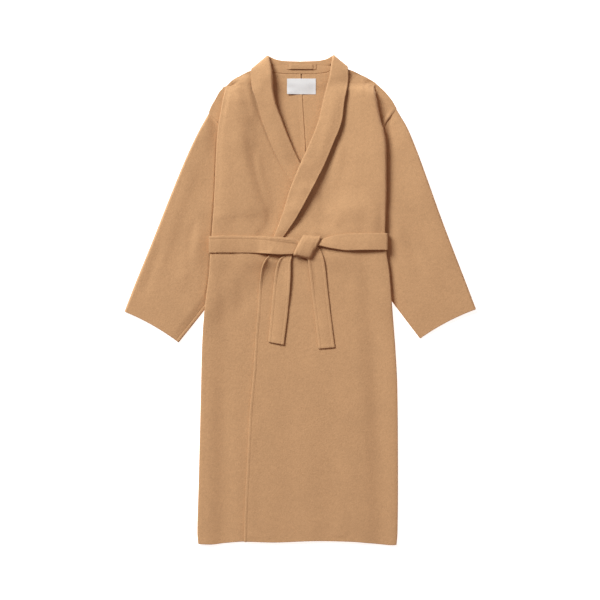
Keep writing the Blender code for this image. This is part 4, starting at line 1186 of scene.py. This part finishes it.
def collar_rows(side):
    """The collar's table read finely: a dictionary of columns, and where along it each row is."""
    c = COLLAR[side]
    run = np.concatenate([[0], np.cumsum(np.maximum(np.hypot(np.diff(c["roll_out"]), np.diff(c["roll_y"])), 2.5)
                                         + 0.5 * np.hypot(np.diff(c["edge_out"]), np.diff(c["edge_y"])))])
    tab = {"run": run}
    tab.update(c)
    n = int(run[-1] / 4.2)
    at = np.concatenate([[0.9, 1.8, 3.0, 4.6, 6.6], np.linspace(9, run[-1] - 6, n), run[-1] - np.array([4.2, 2.8, 1.8, 1.1])])
    fine = {name: along(tab, "run", name)(at) for name in c}
    # the seam's own place where the collar is sewn to the front
    on = fine["face"] > 80
    fine["seam_out"] = np.where(on, front_edge[side](fine["seam_y"]) * SIDES[side] - 0.9, fine["seam_out"])
    return fine, at, run[-1]


def collar_grid(side, over_map=None):
    """Rows from the centre back to the front's end; columns from the seam over the roll to the free edge."""
    sign = SIDES[side]
    c, at, total = collar_rows(side)
    height = front_height[side]
    face, radius = np.radians(c["face"]), c["radius"]
    front = ease((c["face"] + 66) / 140)
    seam = np.stack([c["seam_out"], c["seam_y"], 0 * face], axis=1)
    edge = np.stack([c["edge_out"], c["edge_y"], 0 * face], axis=1)
    roll = np.stack([c["roll_out"], c["roll_y"], 0 * face], axis=1)
    back_z = WALL / 2 + LAYER
    seam[:, 2] = back_z * (1 - front) + height(seam[:, 0] * sign, np.minimum(seam[:, 1], 560)) * front
    edge[:, 2] = WALL / 2 * (1 - front) + (height(edge[:, 0] * sign, np.minimum(edge[:, 1], 548)) + LAYER + c["lift"]) * front
    d = unit(unit(edge[:, :2] - roll[:, :2]) + unit(seam[:, :2] - roll[:, :2]))
    d = np.concatenate([d, 0 * d[:, :1]], axis=1)
    aside = np.stack([-d[:, 1], d[:, 0], 0 * face], axis=1)
    n = np.cos(face)[:, None] * aside + np.sin(face)[:, None] * np.array([0, 0, 1.0])
    mid_z = np.where(np.abs(c["face"]) > 45, seam[:, 2] + radius * np.sin(face), (seam[:, 2] + edge[:, 2]) / 2)
    blend = ease((np.abs(c["face"]) - 35) / 20)
    mid_z = blend * (seam[:, 2] + radius * np.sin(face)) + (1 - blend) * (seam[:, 2] + edge[:, 2]) / 2
    squeezed = radius * np.interp(c["face"], (40, 80), (1.0, 0.6))
    centre = roll + d * squeezed[:, None]
    centre[:, 2] = mid_z
    stand, fall = centre - n * radius[:, None], centre + n * radius[:, None]
    cols, flat = [], []
    for u in np.linspace(0, 0.9, 6):
        cols.append(seam + (stand - seam) * u)
        flat.append(np.full(len(at), -1.0))
    for turn in np.linspace(-90, 90, 11):
        a = math.radians(turn)
        cols.append(centre - d * (squeezed * math.cos(a))[:, None] + n * (radius * math.sin(a))[:, None])
        flat.append(np.full(len(at), -1.0))
    width = np.maximum(np.linalg.norm((edge - fall)[:, :2], axis=1), 1.0)
    near = EDGE[::-1]
    inner = np.linspace(0, 1, 15)[1:-1]
    for u in inner:
        reach = np.maximum(width - EDGE[-1], width * 0.3) * u
        cols.append(fall + (edge - fall) * (reach / width)[:, None])
        flat.append(width - reach)
    for e in near:
        scaled = np.where(width > EDGE[-1] * 1.45, e, e * width / (EDGE[-1] * 1.45))
        scaled = np.maximum(scaled, 1.1)
        cols.append(fall + (edge - fall) * (1 - scaled / width)[:, None])
        flat.append(scaled)
    grid = np.stack(cols, axis=1)
    grid[:, :, 0] *= sign
    dist = np.stack(flat, axis=1)
    # the fall is a little full between the roll and its edge, and rests on what is beneath it
    first = 6 + 11
    fall_u = np.clip(1 - dist[:, first:] / width[:, None], 0, 1)
    on_front = ease((c["face"] - 60) / 25)[:, None]
    x, y = grid[:, first:, 0], grid[:, first:, 1]
    z = grid[:, first:, 2]
    full = 1.5 if side == "right" else 1.0
    z = z + on_front * full * np.sin(np.pi * fall_u) * ease(width[:, None] / 30)
    z = z + on_front * (relief("collar_" + side, x, y) + uneven(x, y, 21 if side == "left" else 22, 55.0, 0.6)) * np.sin(
        np.pi * np.clip(fall_u * 0.8 + 0.1, 0, 1)
    )
    if over_map is not None:
        z = np.where(on_front > 0.02, soft_max(z, (read_map(over_map, x, y) + WALL / 2 + 0.25)), z)
    grid[:, first:, 2] = z
    return grid, dist, c, first, at, total


# ---------------------------------------------------------------- belt


def top_height(x, y):
    """The height of the uppermost panel at a place near the waist."""
    over = front_edge["left"](y)
    share = ease((x - (over - 14)) / 12)
    return np.where(x < over - 14, under_height(x, y), under_height(x, y) * (1 - share) + over_height(x, y) * share)


def knot_floor(x, y):
    return float(top_height(np.array(float(x)), np.array(float(y)))) + LAYER * 2 + 2.2


def belt_front_row(x, over_map, v):
    """Points across the belt's front at x, v from its lower to its upper edge."""
    tab = BELT_FRONT
    top, low = along(tab, "x", "top")(x), along(tab, "x", "bottom")(x)
    rise = along(tab, "x", "rise")(x)
    y = low + (top - low) * v
    xx = np.full_like(y, x)
    z = top_height(xx, y) + LAYER + 0.6 + rise
    z = np.maximum(z, z.max() - 2.5)
    z = np.maximum(z, read_map(over_map, xx, y) + WALL / 2 + 0.5)
    z = 0.6 * z.max() + 0.4 * z
    # on the left of the knot its upper edge stands higher, on the right its lower one
    tilt = float(np.interp(x, (-219, -20, 50, 90, 205), (1.1, 1.1, -3.2, -3.6, -1.6)))
    z = z + tilt * (v - 0.5) + max(-tilt, 0) * 0.3
    # and it stands off the front where the ends come out from under it
    z = z + 3.2 * math.exp(-(((x + 50) / 34) ** 2)) * (1 - ease(v / 0.7))
    return xx, y, z


# ---------------------------------------------------------------- materials


def new_material(name):
    material = bpy.data.materials.new(name)
    material.use_nodes = True
    tree = material.node_tree
    return material, tree, tree.nodes["Principled BSDF"]


def add(tree, kind, settings=None, **sockets):
    node = tree.nodes.new(kind)
    for key, value in (settings or {}).items():
        setattr(node, key, value)
    for key, value in sockets.items():
        node.inputs[key.replace("_", " ")].default_value = value
    return node


def noise(tree, vector, scale, detail, roughness=0.55):
    node = add(tree, "ShaderNodeTexNoise", Scale=scale, Detail=detail, Roughness=roughness)
    tree.links.new(vector, node.inputs["Vector"])
    return node.outputs["Fac"]


def remap(tree, value, low, high, to_low, to_high):
    node = add(tree, "ShaderNodeMapRange")
    for key, number in (("From Min", low), ("From Max", high), ("To Min", to_low), ("To Max", to_high)):
        node.inputs[key].default_value = number
    tree.links.new(value, node.inputs["Value"])
    return node.outputs["Result"]


def maths(tree, kind, a, b):
    node = add(tree, "ShaderNodeMath", {"operation": kind})
    for i, v in enumerate((a, b)):
        if isinstance(v, (int, float)):
            node.inputs[i].default_value = v
        else:
            tree.links.new(v, node.inputs[i])
    return node.outputs[0]


def mix(tree, factor, a, b, kind="MIX"):
    node = add(tree, "ShaderNodeMix", {"data_type": "RGBA", "blend_type": kind})
    for key, v in ((0, factor), (6, a), (7, b)):
        if isinstance(v, (int, float)):
            node.inputs[key].default_value = v
        elif isinstance(v, tuple):
            node.inputs[key].default_value = (*v, 1.0)
        else:
            tree.links.new(v, node.inputs[key])
    return node.outputs[2]


def wool_material():
    """Felted wool: a melange of lighter and darker fibres, a brushed nap lying down the cloth."""
    material, tree, shader = new_material("wool_camel")
    place = add(tree, "ShaderNodeTexCoord").outputs["Object"]
    nap = add(tree, "ShaderNodeMapping", Scale=(1.0, 0.3, 1.0), Rotation=(0.0, 0.0, 0.12))
    tree.links.new(place, nap.inputs["Vector"])
    hairs = noise(tree, nap.outputs["Vector"], 1150.0, 4.0, 0.6)
    felt = noise(tree, place, 620.0, 5.0, 0.65)
    tufts = noise(tree, place, 210.0, 3.0, 0.5)
    cloud = noise(tree, place, 26.0, 3.0, 0.5)
    broad = noise(tree, place, 6.0, 2.0, 0.5)
    fibre = maths(tree, "ADD", maths(tree, "MULTIPLY", hairs, 0.5), maths(tree, "MULTIPLY", felt, 0.5))
    melange = remap(tree, fibre, 0.36, 0.64, 0.0, 1.0)
    colour = mix(tree, melange, WOOL_DARK, WOOL_LIGHT)
    colour = mix(tree, remap(tree, tufts, 0.35, 0.65, 0.0, 0.34), colour, WOOL_TUFT)
    grain = noise(tree, place, 330.0, 3.0, 0.6)
    weave = noise(tree, place, 120.0, 3.0, 0.6)
    fine = maths(tree, "ADD", remap(tree, grain, 0.35, 0.65, -0.05, 0.05), remap(tree, weave, 0.35, 0.65, -0.03, 0.03))
    slow = maths(tree, "ADD", remap(tree, cloud, 0.3, 0.7, -0.022, 0.022), remap(tree, broad, 0.3, 0.7, -0.016, 0.016))
    shade = maths(tree, "ADD", fine, slow)
    tone = add(tree, "ShaderNodeHueSaturation")
    tree.links.new(colour, tone.inputs["Color"])
    tree.links.new(maths(tree, "ADD", shade, 1.0), tone.inputs["Value"])
    tree.links.new(tone.outputs["Color"], shader.inputs["Base Color"])
    rough = maths(tree, "ADD", remap(tree, felt, 0.3, 0.7, 0.84, 0.97), remap(tree, cloud, 0.3, 0.7, -0.02, 0.02))
    tree.links.new(rough, shader.inputs["Roughness"])
    shader.inputs["Specular IOR Level"].default_value = 0.2
    shader.inputs["Sheen Weight"].default_value = 0.22
    shader.inputs["Sheen Roughness"].default_value = 0.5
    shader.inputs["Sheen Tint"].default_value = (1.0, 0.88, 0.74, 1.0)
    height = maths(tree, "ADD", maths(tree, "MULTIPLY", fibre, 0.6), maths(tree, "MULTIPLY", grain, 0.9))
    height = maths(tree, "ADD", height, maths(tree, "MULTIPLY", tufts, 0.7))
    bump = add(tree, "ShaderNodeBump", Strength=0.55, Distance=0.0011)
    tree.links.new(height, bump.inputs["Height"])
    tree.links.new(bump.outputs["Normal"], shader.inputs["Normal"])
    return material


def label_material():
    """A plain off-white woven label."""
    material, tree, shader = new_material("label_weave")
    place = add(tree, "ShaderNodeTexCoord").outputs["Object"]
    across = add(tree, "ShaderNodeTexWave", {"bands_direction": "X"}, Scale=560.0, Distortion=0.6)
    down = add(tree, "ShaderNodeTexWave", {"bands_direction": "Y"}, Scale=430.0, Distortion=0.6)
    for wave in (across, down):
        tree.links.new(place, wave.inputs["Vector"])
    weave = maths(tree, "MULTIPLY", across.outputs["Fac"], down.outputs["Fac"])
    thread = noise(tree, place, 900.0, 3.0)
    cloud = noise(tree, place, 60.0, 3.0)
    colour = mix(tree, remap(tree, weave, 0.0, 1.0, 0.0, 1.0), LABEL_DARK, LABEL_LIGHT)
    tone = add(tree, "ShaderNodeHueSaturation")
    tree.links.new(colour, tone.inputs["Color"])
    value = maths(tree, "ADD", remap(tree, thread, 0.3, 0.7, 0.975, 1.02), remap(tree, cloud, 0.3, 0.7, -0.02, 0.02))
    tree.links.new(value, tone.inputs["Value"])
    tree.links.new(tone.outputs["Color"], shader.inputs["Base Color"])
    tree.links.new(remap(tree, thread, 0.3, 0.7, 0.52, 0.68), shader.inputs["Roughness"])
    shader.inputs["Sheen Weight"].default_value = 0.08
    bump = add(tree, "ShaderNodeBump", Strength=0.4, Distance=0.00025)
    tree.links.new(maths(tree, "ADD", weave, thread), bump.inputs["Height"])
    tree.links.new(bump.outputs["Normal"], shader.inputs["Normal"])
    return material


WOOL_DARK = (0.502, 0.2835, 0.1355)
WOOL_LIGHT = (0.662, 0.3995, 0.2075)
WOOL_TUFT = (0.602, 0.354, 0.1765)
LABEL_DARK = (0.78, 0.79, 0.785)
LABEL_LIGHT = (0.9, 0.91, 0.905)
MATERIALS = {"wool": wool_material(), "label": label_material()}


# ---------------------------------------------------------------- the pieces, from the floor up

grids = {}

for side in SIDES:
    rings, flats, across = sleeve_grid(side)
    grids["sleeve_" + side] = (rings, flats, across)
    cover(rings[:, :across])


def belt_back_rows():
    rows = []
    v = belt_v
    for x in np.arange(-196, 189, 6.0):
        z = WALL / 2 + 2 * LAYER * float(ease((abs(x) - 76) / 60))
        rows.append(np.stack([np.full_like(v, x), BELT_Y + BELT_WIDTH * (v - 0.5), np.full_like(v, z)], axis=1))
    return rows


belt_v = np.concatenate([EDGE[:-1], np.linspace(15.5, 22.5, 4), BELT_WIDTH - EDGE[:-1][::-1]]) / BELT_WIDTH
belt_back = belt_back_rows()
cover(np.array(belt_back))

for side in SIDES:
    g, dist, c, first, at, total = collar_grid(side)
    cover(g[c["face"] < -60][:, first:])

under_back = envelope(5)


def back_surface(x, y):
    return soft_max(back_height(x, y), read_map(under_back, x, y) + WALL / 2 + 0.2, 0.6)


back_made = {}
for side in SIDES:
    def inner(y, side=side):
        return back_seam(y) * SIDES[side] + SEAM / 2

    def extra(x, y, side=side):
        lift = relief("back_" + side, x, y) + 0.5 + uneven(x, y, 31 if side == "left" else 32, 70.0, 0.7)
        out = x * SIDES[side]
        clear = ease((BODY_EDGE_OUT[side](y) - 60 - out) / 40) * ease((500 - y) / 80)
        return np.maximum(lift, 0) * clear * ease((out - inner(y)) / 26)

    BODY_EDGE_OUT = edge_out
    grid, n_line = panel_grid(side, "back", inner, back_surface, extra)
    back_made[side] = (grid, n_line)
    cover(grid, times=4)


def finish_panel(side, layer, grid, inner, over, under):
    return shell(layer + "_" + side, grid, WALL, over, under)


for side in SIDES:
    grid, n_line = back_made[side]
    d = grid[:, :, 0] * SIDES[side] - (back_seam(grid[:, :, 1]) * SIDES[side] + SEAM / 2)
    over = np.zeros(d.shape)
    if side == "right":
        over = 0.2 + 0.75 * (1 - ease(d / 8.6)) - 0.2 * ease((d - 8.2) / 1.0) - 0.12 * np.exp(-(((d - 9.6) / 0.9) ** 2))
    else:
        over = -0.5 * (1 - ease(d / 3.4))
    over = over * ease((560 - grid[:, :, 1]) / 10)
    shell("back_" + side, grid, WALL, over)

# the strip inside the back neck
outs = np.concatenate([[-74.6, -73, -71.5], np.linspace(-70, 70, 47), [71.5, 73, 74.6]])
band = []
for out in outs:
    low = np.interp(abs(out), BACK_TOP_OUT, BACK_TOP_Y) + SEAM
    high = np.interp(abs(out), (0, 40, 58, 70), (565.4, 564.9, 564.1, 563.6))
    y = np.concatenate([[low + 1.1, low + 1.9, low + 3], np.linspace(low + 4.2, high - 4.2, 8), [high - 3, high - 1.9, high - 1.1]])
    z0 = float(back_height(np.array(out), np.array(low)))
    u = (y - low) / (high - low)
    z = z0 + (WALL / 2 + LAYER - z0) * np.minimum(2 * u, 1) + 0.5 * np.sin(np.pi * u)
    band.append(np.stack([np.full_like(y, out), y, z], axis=1))
grids["neck_band"] = np.array(band)
cover(grids["neck_band"])
shell("neck_band", grids["neck_band"])

under_front = envelope(4)


def front_panel_grid(side, floor_map, extra_shape):
    sign = SIDES[side]

    def inner(y):
        return front_edge[side](y) * sign

    def surface(x, y):
        return front_height[side](x, y)

    def extra(x, y):
        cad = front_height[side](x, y)
        wanted = cad + extra_shape(x, y)
        floor = read_map(floor_map, x, y) + WALL / 2 + 0.2
        return soft_max(wanted, floor) - cad

    return panel_grid(side, "front", inner, surface, extra), inner


def right_extra(x, y):
    full = plateau(x, y, "right", lambda q: front_edge["right"](q) * -1.0, 1.2, 60.0)
    return full + relief("front_right", x, y) + uneven(x, y, 41, 85.0, 0.5) + uneven(x, y, 43, 38.0, 0.2)


(grid, n_line), inner = front_panel_grid("right", under_front, right_extra)
grids["front_right"] = grid
cover(grid)
d = grid[:, :, 0] * -1.0 - inner(grid[:, :, 1])
free = ease((118 - grid[:, :, 1]) / 12)
shell("front_right", grid, WALL, bead(d * 0.98) * free, bead(d * 0.98) * free)

under_right_collar = envelope(4)
g, dist, c, first, at, total = collar_grid("right", under_right_collar)
cover(g[:, first:])
over = np.where(dist > 0, 0.3 * (1 - ease(dist / 6.0)), 0.0)
over[:, :first] = 0.0
shell("collar_right", g, WALL, over, over, up=False)

under_left = envelope(5)


def left_extra(x, y):
    full = plateau(x, y, "left", lambda q: front_edge["left"](q), 0.8)
    edge = front_edge["left"](y)
    # the free edge curls up below the belt and lies down again further on
    curl = 10.5 * np.exp(-np.maximum(x - edge, 0) / 12.0) * ease((114 - y) / 9) * (1 - ease((96 - y) / 96)) ** 1.3
    curl = curl + 1.0 * np.exp(-np.maximum(x - edge, 0) / 12.0) * ease((112 - y) / 12)
    # the cloth above the belt is not pressed down as far as the belt's own edge
    held = ease((252 - y) / 62) * ease((y - 104) / 60) * ease((x - 50) / 40) * ease((edge_out["left"](y) - 4 - x) / 30)
    return full + curl + 4.0 * held + relief("front_left", x, y) + uneven(x, y, 42, 95.0, 0.4) + uneven(x, y, 44, 40.0, 0.16)


(grid, n_line), inner = front_panel_grid("left", under_left, left_extra)
grids["front_left"] = grid
cover(grid)
d = (grid[:, :, 0] - inner(grid[:, :, 1])) * 0.99
free = ease((116 - grid[:, :, 1]) / 8)
shell("front_left", grid, WALL, bead(d) * free, bead(d) * free)

under_left_collar = envelope(4)
g, dist, c, first, at, total = collar_grid("left", under_left_collar)
cover(g[:, first:])
over = np.where(dist > 0, 0.3 * (1 - ease(dist / 6.0)), 0.0)
over[:, :first] = 0.0
shell("collar_left", g, WALL, over, over, up=False)

# the sleeves' own faces, with the underarm seam near their inner edge
for side in SIDES:
    rings, flats, across = grids["sleeve_" + side]
    line = np.zeros(flats.shape)
    top = flats[:, :across]
    seam_row = ease((np.arange(len(rings)) - 40) / 20.0)[:, None]
    line[:, :across] = (0.35 * (1 - ease((top - 5.6) / 1.2)) - 0.5 * np.exp(-(((top - 6.9) / 0.8) ** 2))) * seam_row
    shell("sleeve_" + side, rings, WALL, line, closed=True)

# ---------------------------------------------------------------- belt ends

under_tails = envelope(3)


def tail_grid(side):
    t = TAIL_LEFT if side == "left" else TAIL_RIGHT
    index = {"k": np.arange(len(t["rise"]), dtype=float)}
    index.update(t)
    curve = {n: along(index, "k", n) for n in t}
    last = len(t["rise"]) - 1.0
    ks = np.concatenate([[-0.09, -0.05, 0.0, 0.05, 0.1], np.linspace(0.15, last - 0.13, 66), last - np.array([0.1, 0.075, 0.05, 0.03, 0.013])])
    width = 38.0
    v = np.concatenate([EDGE[:-1], np.linspace(15.5, 22.5, 4), width - EDGE[:-1][::-1]]) / width
    rows = []
    for k in ks:
        a = np.array([curve["left_x"](max(k, 0)), curve["left_y"](max(k, 0)) - 30 * min(k, 0)])
        b = np.array([curve["right_x"](max(k, 0)), curve["right_y"](max(k, 0)) - 30 * min(k, 0)])
        p = a + (b - a) * v[:, None]
        base = over_height(p[:, 0], p[:, 1]) + LAYER + curve["rise"](max(k, 0)) * ease((k + 0.1) / 0.5)
        floor = read_map(under_tails, p[:, 0], p[:, 1]) + WALL / 2 + 0.3
        rows.append(np.stack([p[:, 0], p[:, 1], np.maximum(base, floor)], axis=1))
    grid = np.array(rows)
    return grid, v, ks / last


for side in SIDES:
    grid, v, along_it = tail_grid(side)
    y = grid[:, :, 1]
    vv = np.broadcast_to(v, y.shape)
    if side == "right":
        # its right edge stands off the coat near the top, and its left edge is rolled there
        grid[:, :, 2] += 2.6 * ease((vv - 0.5) / 0.5) * ease((y + 30) / 60) * ease((104 - y) / 30)
        grid[:, :, 2] += 3.0 * ease((0.3 - vv) / 0.3) * ease((y - 20) / 60) * ease((109 - y) / 10)
    else:
        grid[:, :, 2] += 3.0 * ease((0.35 - vv) / 0.35) * ease((y - 0) / 60)
        grid[:, :, 2] += 0.6 * ease((vv - 0.6) / 0.4) * ease((y - 10) / 60)
    grid[:, :, 2] += 1.0 * np.sin(np.pi * vv) + uneven(grid[:, :, 0], y, 51, 30.0, 0.4)
    grid[:, :, 2] += (1.5 if side == "right" else 0.4) * vv
    d_left, d_right = vv * 38.0, (1 - vv) * 38.0
    d_end = (along_it[-1] - along_it)[:, None] * 215.0 + 1.1
    over = 0.8 * bead(d_left, 0.44, 0.24) + 0.5 * bead(d_right, 0.6, 0.4) + bead(np.broadcast_to(d_end, y.shape), 0.35, 0.15)
    cover(grid, 2.2)
    shell("belt_tail_" + side, grid, WALL + 0.2, over, 0.0)

# ---------------------------------------------------------------- belt

under_belt = envelope(12)
rows = []


def front_rows(xs):
    out = []
    for x in xs:
        xx, y, z = belt_front_row(float(x), under_belt, belt_v)
        out.append(np.stack([xx, y, z], axis=1))
    return out


left_xs = np.concatenate([[-2.9, -3.8, -5.0, -7.0], np.arange(-10, -213, -4.0), [-214.8, -216.6]])
right_xs = np.concatenate([[204.5, 202.0], np.arange(199, 49, -4.0), [47.0, 44.5, 42.0, 39.5, 37.0]])


def turn_rows(side, front_row):
    """The belt goes round the body's edge to the back."""
    sign = SIDES[side]
    x = abs(front_row[0, 0])
    high = front_row[len(front_row) // 2, 2]
    low = WALL / 2 + 2 * LAYER
    radius = (high - low) / 2
    out = []
    for angle in np.linspace(75, -82, 13):
        t = math.radians(angle)
        reach = x + 1.2 + min(radius, 3.0) * (math.cos(t) - 1) * 0.8
        row = front_row.copy()
        row[:, 0] = reach * sign
        w = (1 + math.sin(t)) / 2
        row[:, 2] = low + (front_row[:, 2] - low) * w
        out.append(row)
    return out


left_rows = front_rows(left_xs)
right_rows = front_rows(np.concatenate([[207.0], right_xs]))
rows = left_rows + turn_rows("right", left_rows[-1])
rows += belt_back
rows += turn_rows("left", right_rows[0])[::-1] + right_rows
belt = np.array(rows)
edge_d = np.minimum(belt_v, 1 - belt_v) * BELT_WIDTH
from_top = (1 - belt_v) * BELT_WIDTH
seamed = np.interp(belt[:, :1, 0], (-30, 40), (1.0, 0.25))
top_side = np.zeros(belt.shape[:2]) + bead(from_top, 0.35, 0.2)[None, :] * seamed + 0.9 * np.sin(np.pi * belt_v)[None, :] ** 0.6
on_front = np.concatenate([np.ones(len(left_rows)), np.linspace(1, 0.2, 13), np.full(len(belt_back), 0.1), np.linspace(0.2, 1, 13), np.ones(len(right_rows))])
# near the knot its upper edge stands up over the rest of it, in a fold that runs under the knot
fold_on = np.interp(belt[:, :1, 0], (-112, -40, -14, -4), (0.0, 0.8, 1.5, 1.5)) * (np.arange(len(belt)) < len(left_rows))[:, None]
fold_line = from_top[None, :] - np.interp(belt[:, :1, 0], (-112, -10), (6.0, 10.5))
top_side = top_side + fold_on * (1 - ease((fold_line + 1.0) / 1.8)) - 0.5 * fold_on * np.exp(-(((fold_line - 1.6) / 1.6) ** 2))
cover(belt, 2.6, times=3)
shell("belt_waist", belt, WALL, top_side * on_front[:, None], 0.0, up=False)

# ---------------------------------------------------------------- knot

k_index = {"k": np.arange(len(KNOT["rise"]), dtype=float)}
k_index.update(KNOT)
k_curve = {n: along(k_index, "k", n) for n in KNOT}
last = len(KNOT["rise"]) - 1.0
base_z = knot_floor(20, BELT_Y)
under_knot = envelope(7)
rows = []
u = np.concatenate([[0, 0.004, 0.012, 0.024, 0.04, 0.06, 0.085, 0.115], np.linspace(0.15, 0.85, 20), 1 - np.array([0.115, 0.085, 0.06, 0.04, 0.024, 0.012, 0.004, 0])])
for k in np.concatenate([np.linspace(0, 0.5, 8), np.linspace(0.58, last - 0.55, 26), np.linspace(last - 0.5, last, 10)]):
    a = np.array([k_curve["left_x"](k), k_curve["left_y"](k)])
    b = np.array([k_curve["right_x"](k), k_curve["right_y"](k)])
    p = a + (b - a) * u[:, None]
    h = (1 - np.abs(2 * u - 1) ** 5.0) ** 0.55
    end = ease(k / 0.9) * ease((last - k) / 0.8)
    rise = float(k_curve["rise"](k)) * (0.25 + 0.75 * end)
    floor = read_map(under_knot, p[:, 0], p[:, 1])
    z = np.maximum(base_z + h * (rise + 1.5), floor + 1.0 + 2.6 * h * end)
    d = u * 38.0
    rows.append(np.stack([p[:, 0], p[:, 1], z], axis=1))
knot = np.array(rows)
d = np.broadcast_to(u * 38.0, knot.shape[:2])
shell("belt_knot", knot, WALL, bead(d, 0.4, 0.3) + 0.6 * bead(38.0 - d, 0.4, 0.2), 0.0)

# ---------------------------------------------------------------- label and hanger loop

rows = []
for x in np.concatenate([[-31.4, -30.8], np.linspace(-29.5, 35.5, 34), [36.8, 37.4]]):
    y = np.concatenate([[495.2, 495.8], np.linspace(497.1, 530.1, 20), [531.4, 532.0]])
    xx = np.full_like(y, x)
    under = np.maximum(back_height(xx, y), read_map(under_back, xx, y) + WALL / 2)
    lift = 3.2 * ease((3 - x) / 34) * ease((513.6 - y) / 18) + 0.25
    wave = 0.35 * np.sin(x / 7.0 + 0.6) * ease((525.6 - y) / 20)
    rows.append(np.stack([xx, y, under + WALL / 2 + SEAM + 0.3 + lift + wave], axis=1))
shell("label", np.array(rows), 0.6, slot="label")

rows = []
rest = WALL / 2 + LAYER + WALL / 2 + SEAM + TRIM_WALL / 2
for x in np.concatenate([[-31.5, -31.0, -30.2], np.linspace(-29, 35, 54), [36.2, 37.0, 37.5]]):
    middle = ease((x + 28.5) / 7) * ease((34.5 - x) / 7)
    low, high = 554.0 + 0.6 * middle, 567.5 - 1.0 * middle
    v = np.concatenate([[0.5, 1.1, 2.0], np.linspace(3, high - low - 3, 6), (high - low) - np.array([2.0, 1.1, 0.5])])
    tab = np.exp(-(((x + 25.5) / 0.9) ** 2)) + np.exp(-(((x - 31.5) / 0.9) ** 2))
    z = rest + 2.2 * middle * (1 - ((v / (high - low) - 0.5) * 0.7) ** 2) - 0.5 * tab + 0.3
    rows.append(np.stack([np.full_like(v, x), low + v, z], axis=1))
shell("hanger_loop", np.array(rows), TRIM_WALL + 0.4)

# ---------------------------------------------------------------- floor, light and camera

floor_mesh = bpy.data.meshes.new("floor")
floor_mesh.from_pydata([(-6, -6, -0.0004), (6, -6, -0.0004), (6, 6, -0.0004), (-6, 6, -0.0004)], [], [(0, 1, 2, 3)])
floor = bpy.data.objects.new("floor", floor_mesh)
bpy.context.scene.collection.objects.link(floor)
paper, tree, shader = new_material("floor_paper")
place = add(tree, "ShaderNodeTexCoord").outputs["Object"]
tree.links.new(remap(tree, noise(tree, place, 40.0, 3.0), 0.3, 0.7, 0.78, 0.86), shader.inputs["Roughness"])
shader.inputs["Base Color"].default_value = (0.9, 0.9, 0.9, 1.0)
shader.inputs["Specular IOR Level"].default_value = 0.1
shader.inputs["Emission Color"].default_value = (1.0, 1.0, 1.0, 1.0)
shader.inputs["Emission Strength"].default_value = 0.8
floor_mesh.materials.append(paper)


def area_light(name, place, aim, size, power, colour=(1.0, 1.0, 1.0)):
    light = bpy.data.lights.new(name, "AREA")
    light.shape = "DISK"
    light.size = size
    light.energy = power
    light.color = colour
    obj = bpy.data.objects.new(name, light)
    bpy.context.scene.collection.objects.link(obj)
    obj.location = place
    direction = np.array(place) - np.array(aim)
    direction /= np.linalg.norm(direction)
    obj.rotation_euler = (math.acos(direction[2]), 0.0, math.atan2(direction[1], direction[0]) + math.pi / 2)
    return obj


area_light("key", (-5.7, 6.1, 6.35), (0.0, 0.0, 0.0), 4.9, 1345.0, (0.945, 1.0, 1.02))
area_light("over", (2.4, 1.4, 3.0), (0.0, 0.0, 0.0), 2.0, 13.0, (1.0, 0.97, 0.95))
world = bpy.data.worlds.new("studio")
world.use_nodes = True
world.node_tree.nodes["Background"].inputs["Color"].default_value = (1.0, 0.62, 0.54, 1.0)
world.node_tree.nodes["Background"].inputs["Strength"].default_value = 0.2
bpy.context.scene.world = world
bpy.context.scene.view_settings.view_transform = "Standard"
bpy.context.scene.view_settings.look = "None"

camera_data = bpy.data.cameras.new("camera")
camera_data.type = "PERSP"
camera_data.sensor_fit = "HORIZONTAL"
camera_data.sensor_width = 36.0
camera_data.lens = 85.0
camera_data.clip_end = 50.0
camera = bpy.data.objects.new("camera", camera_data)
bpy.context.scene.collection.objects.link(camera)
camera.location = (-0.0005, 0.0002, 3.41)
bpy.context.scene.camera = camera
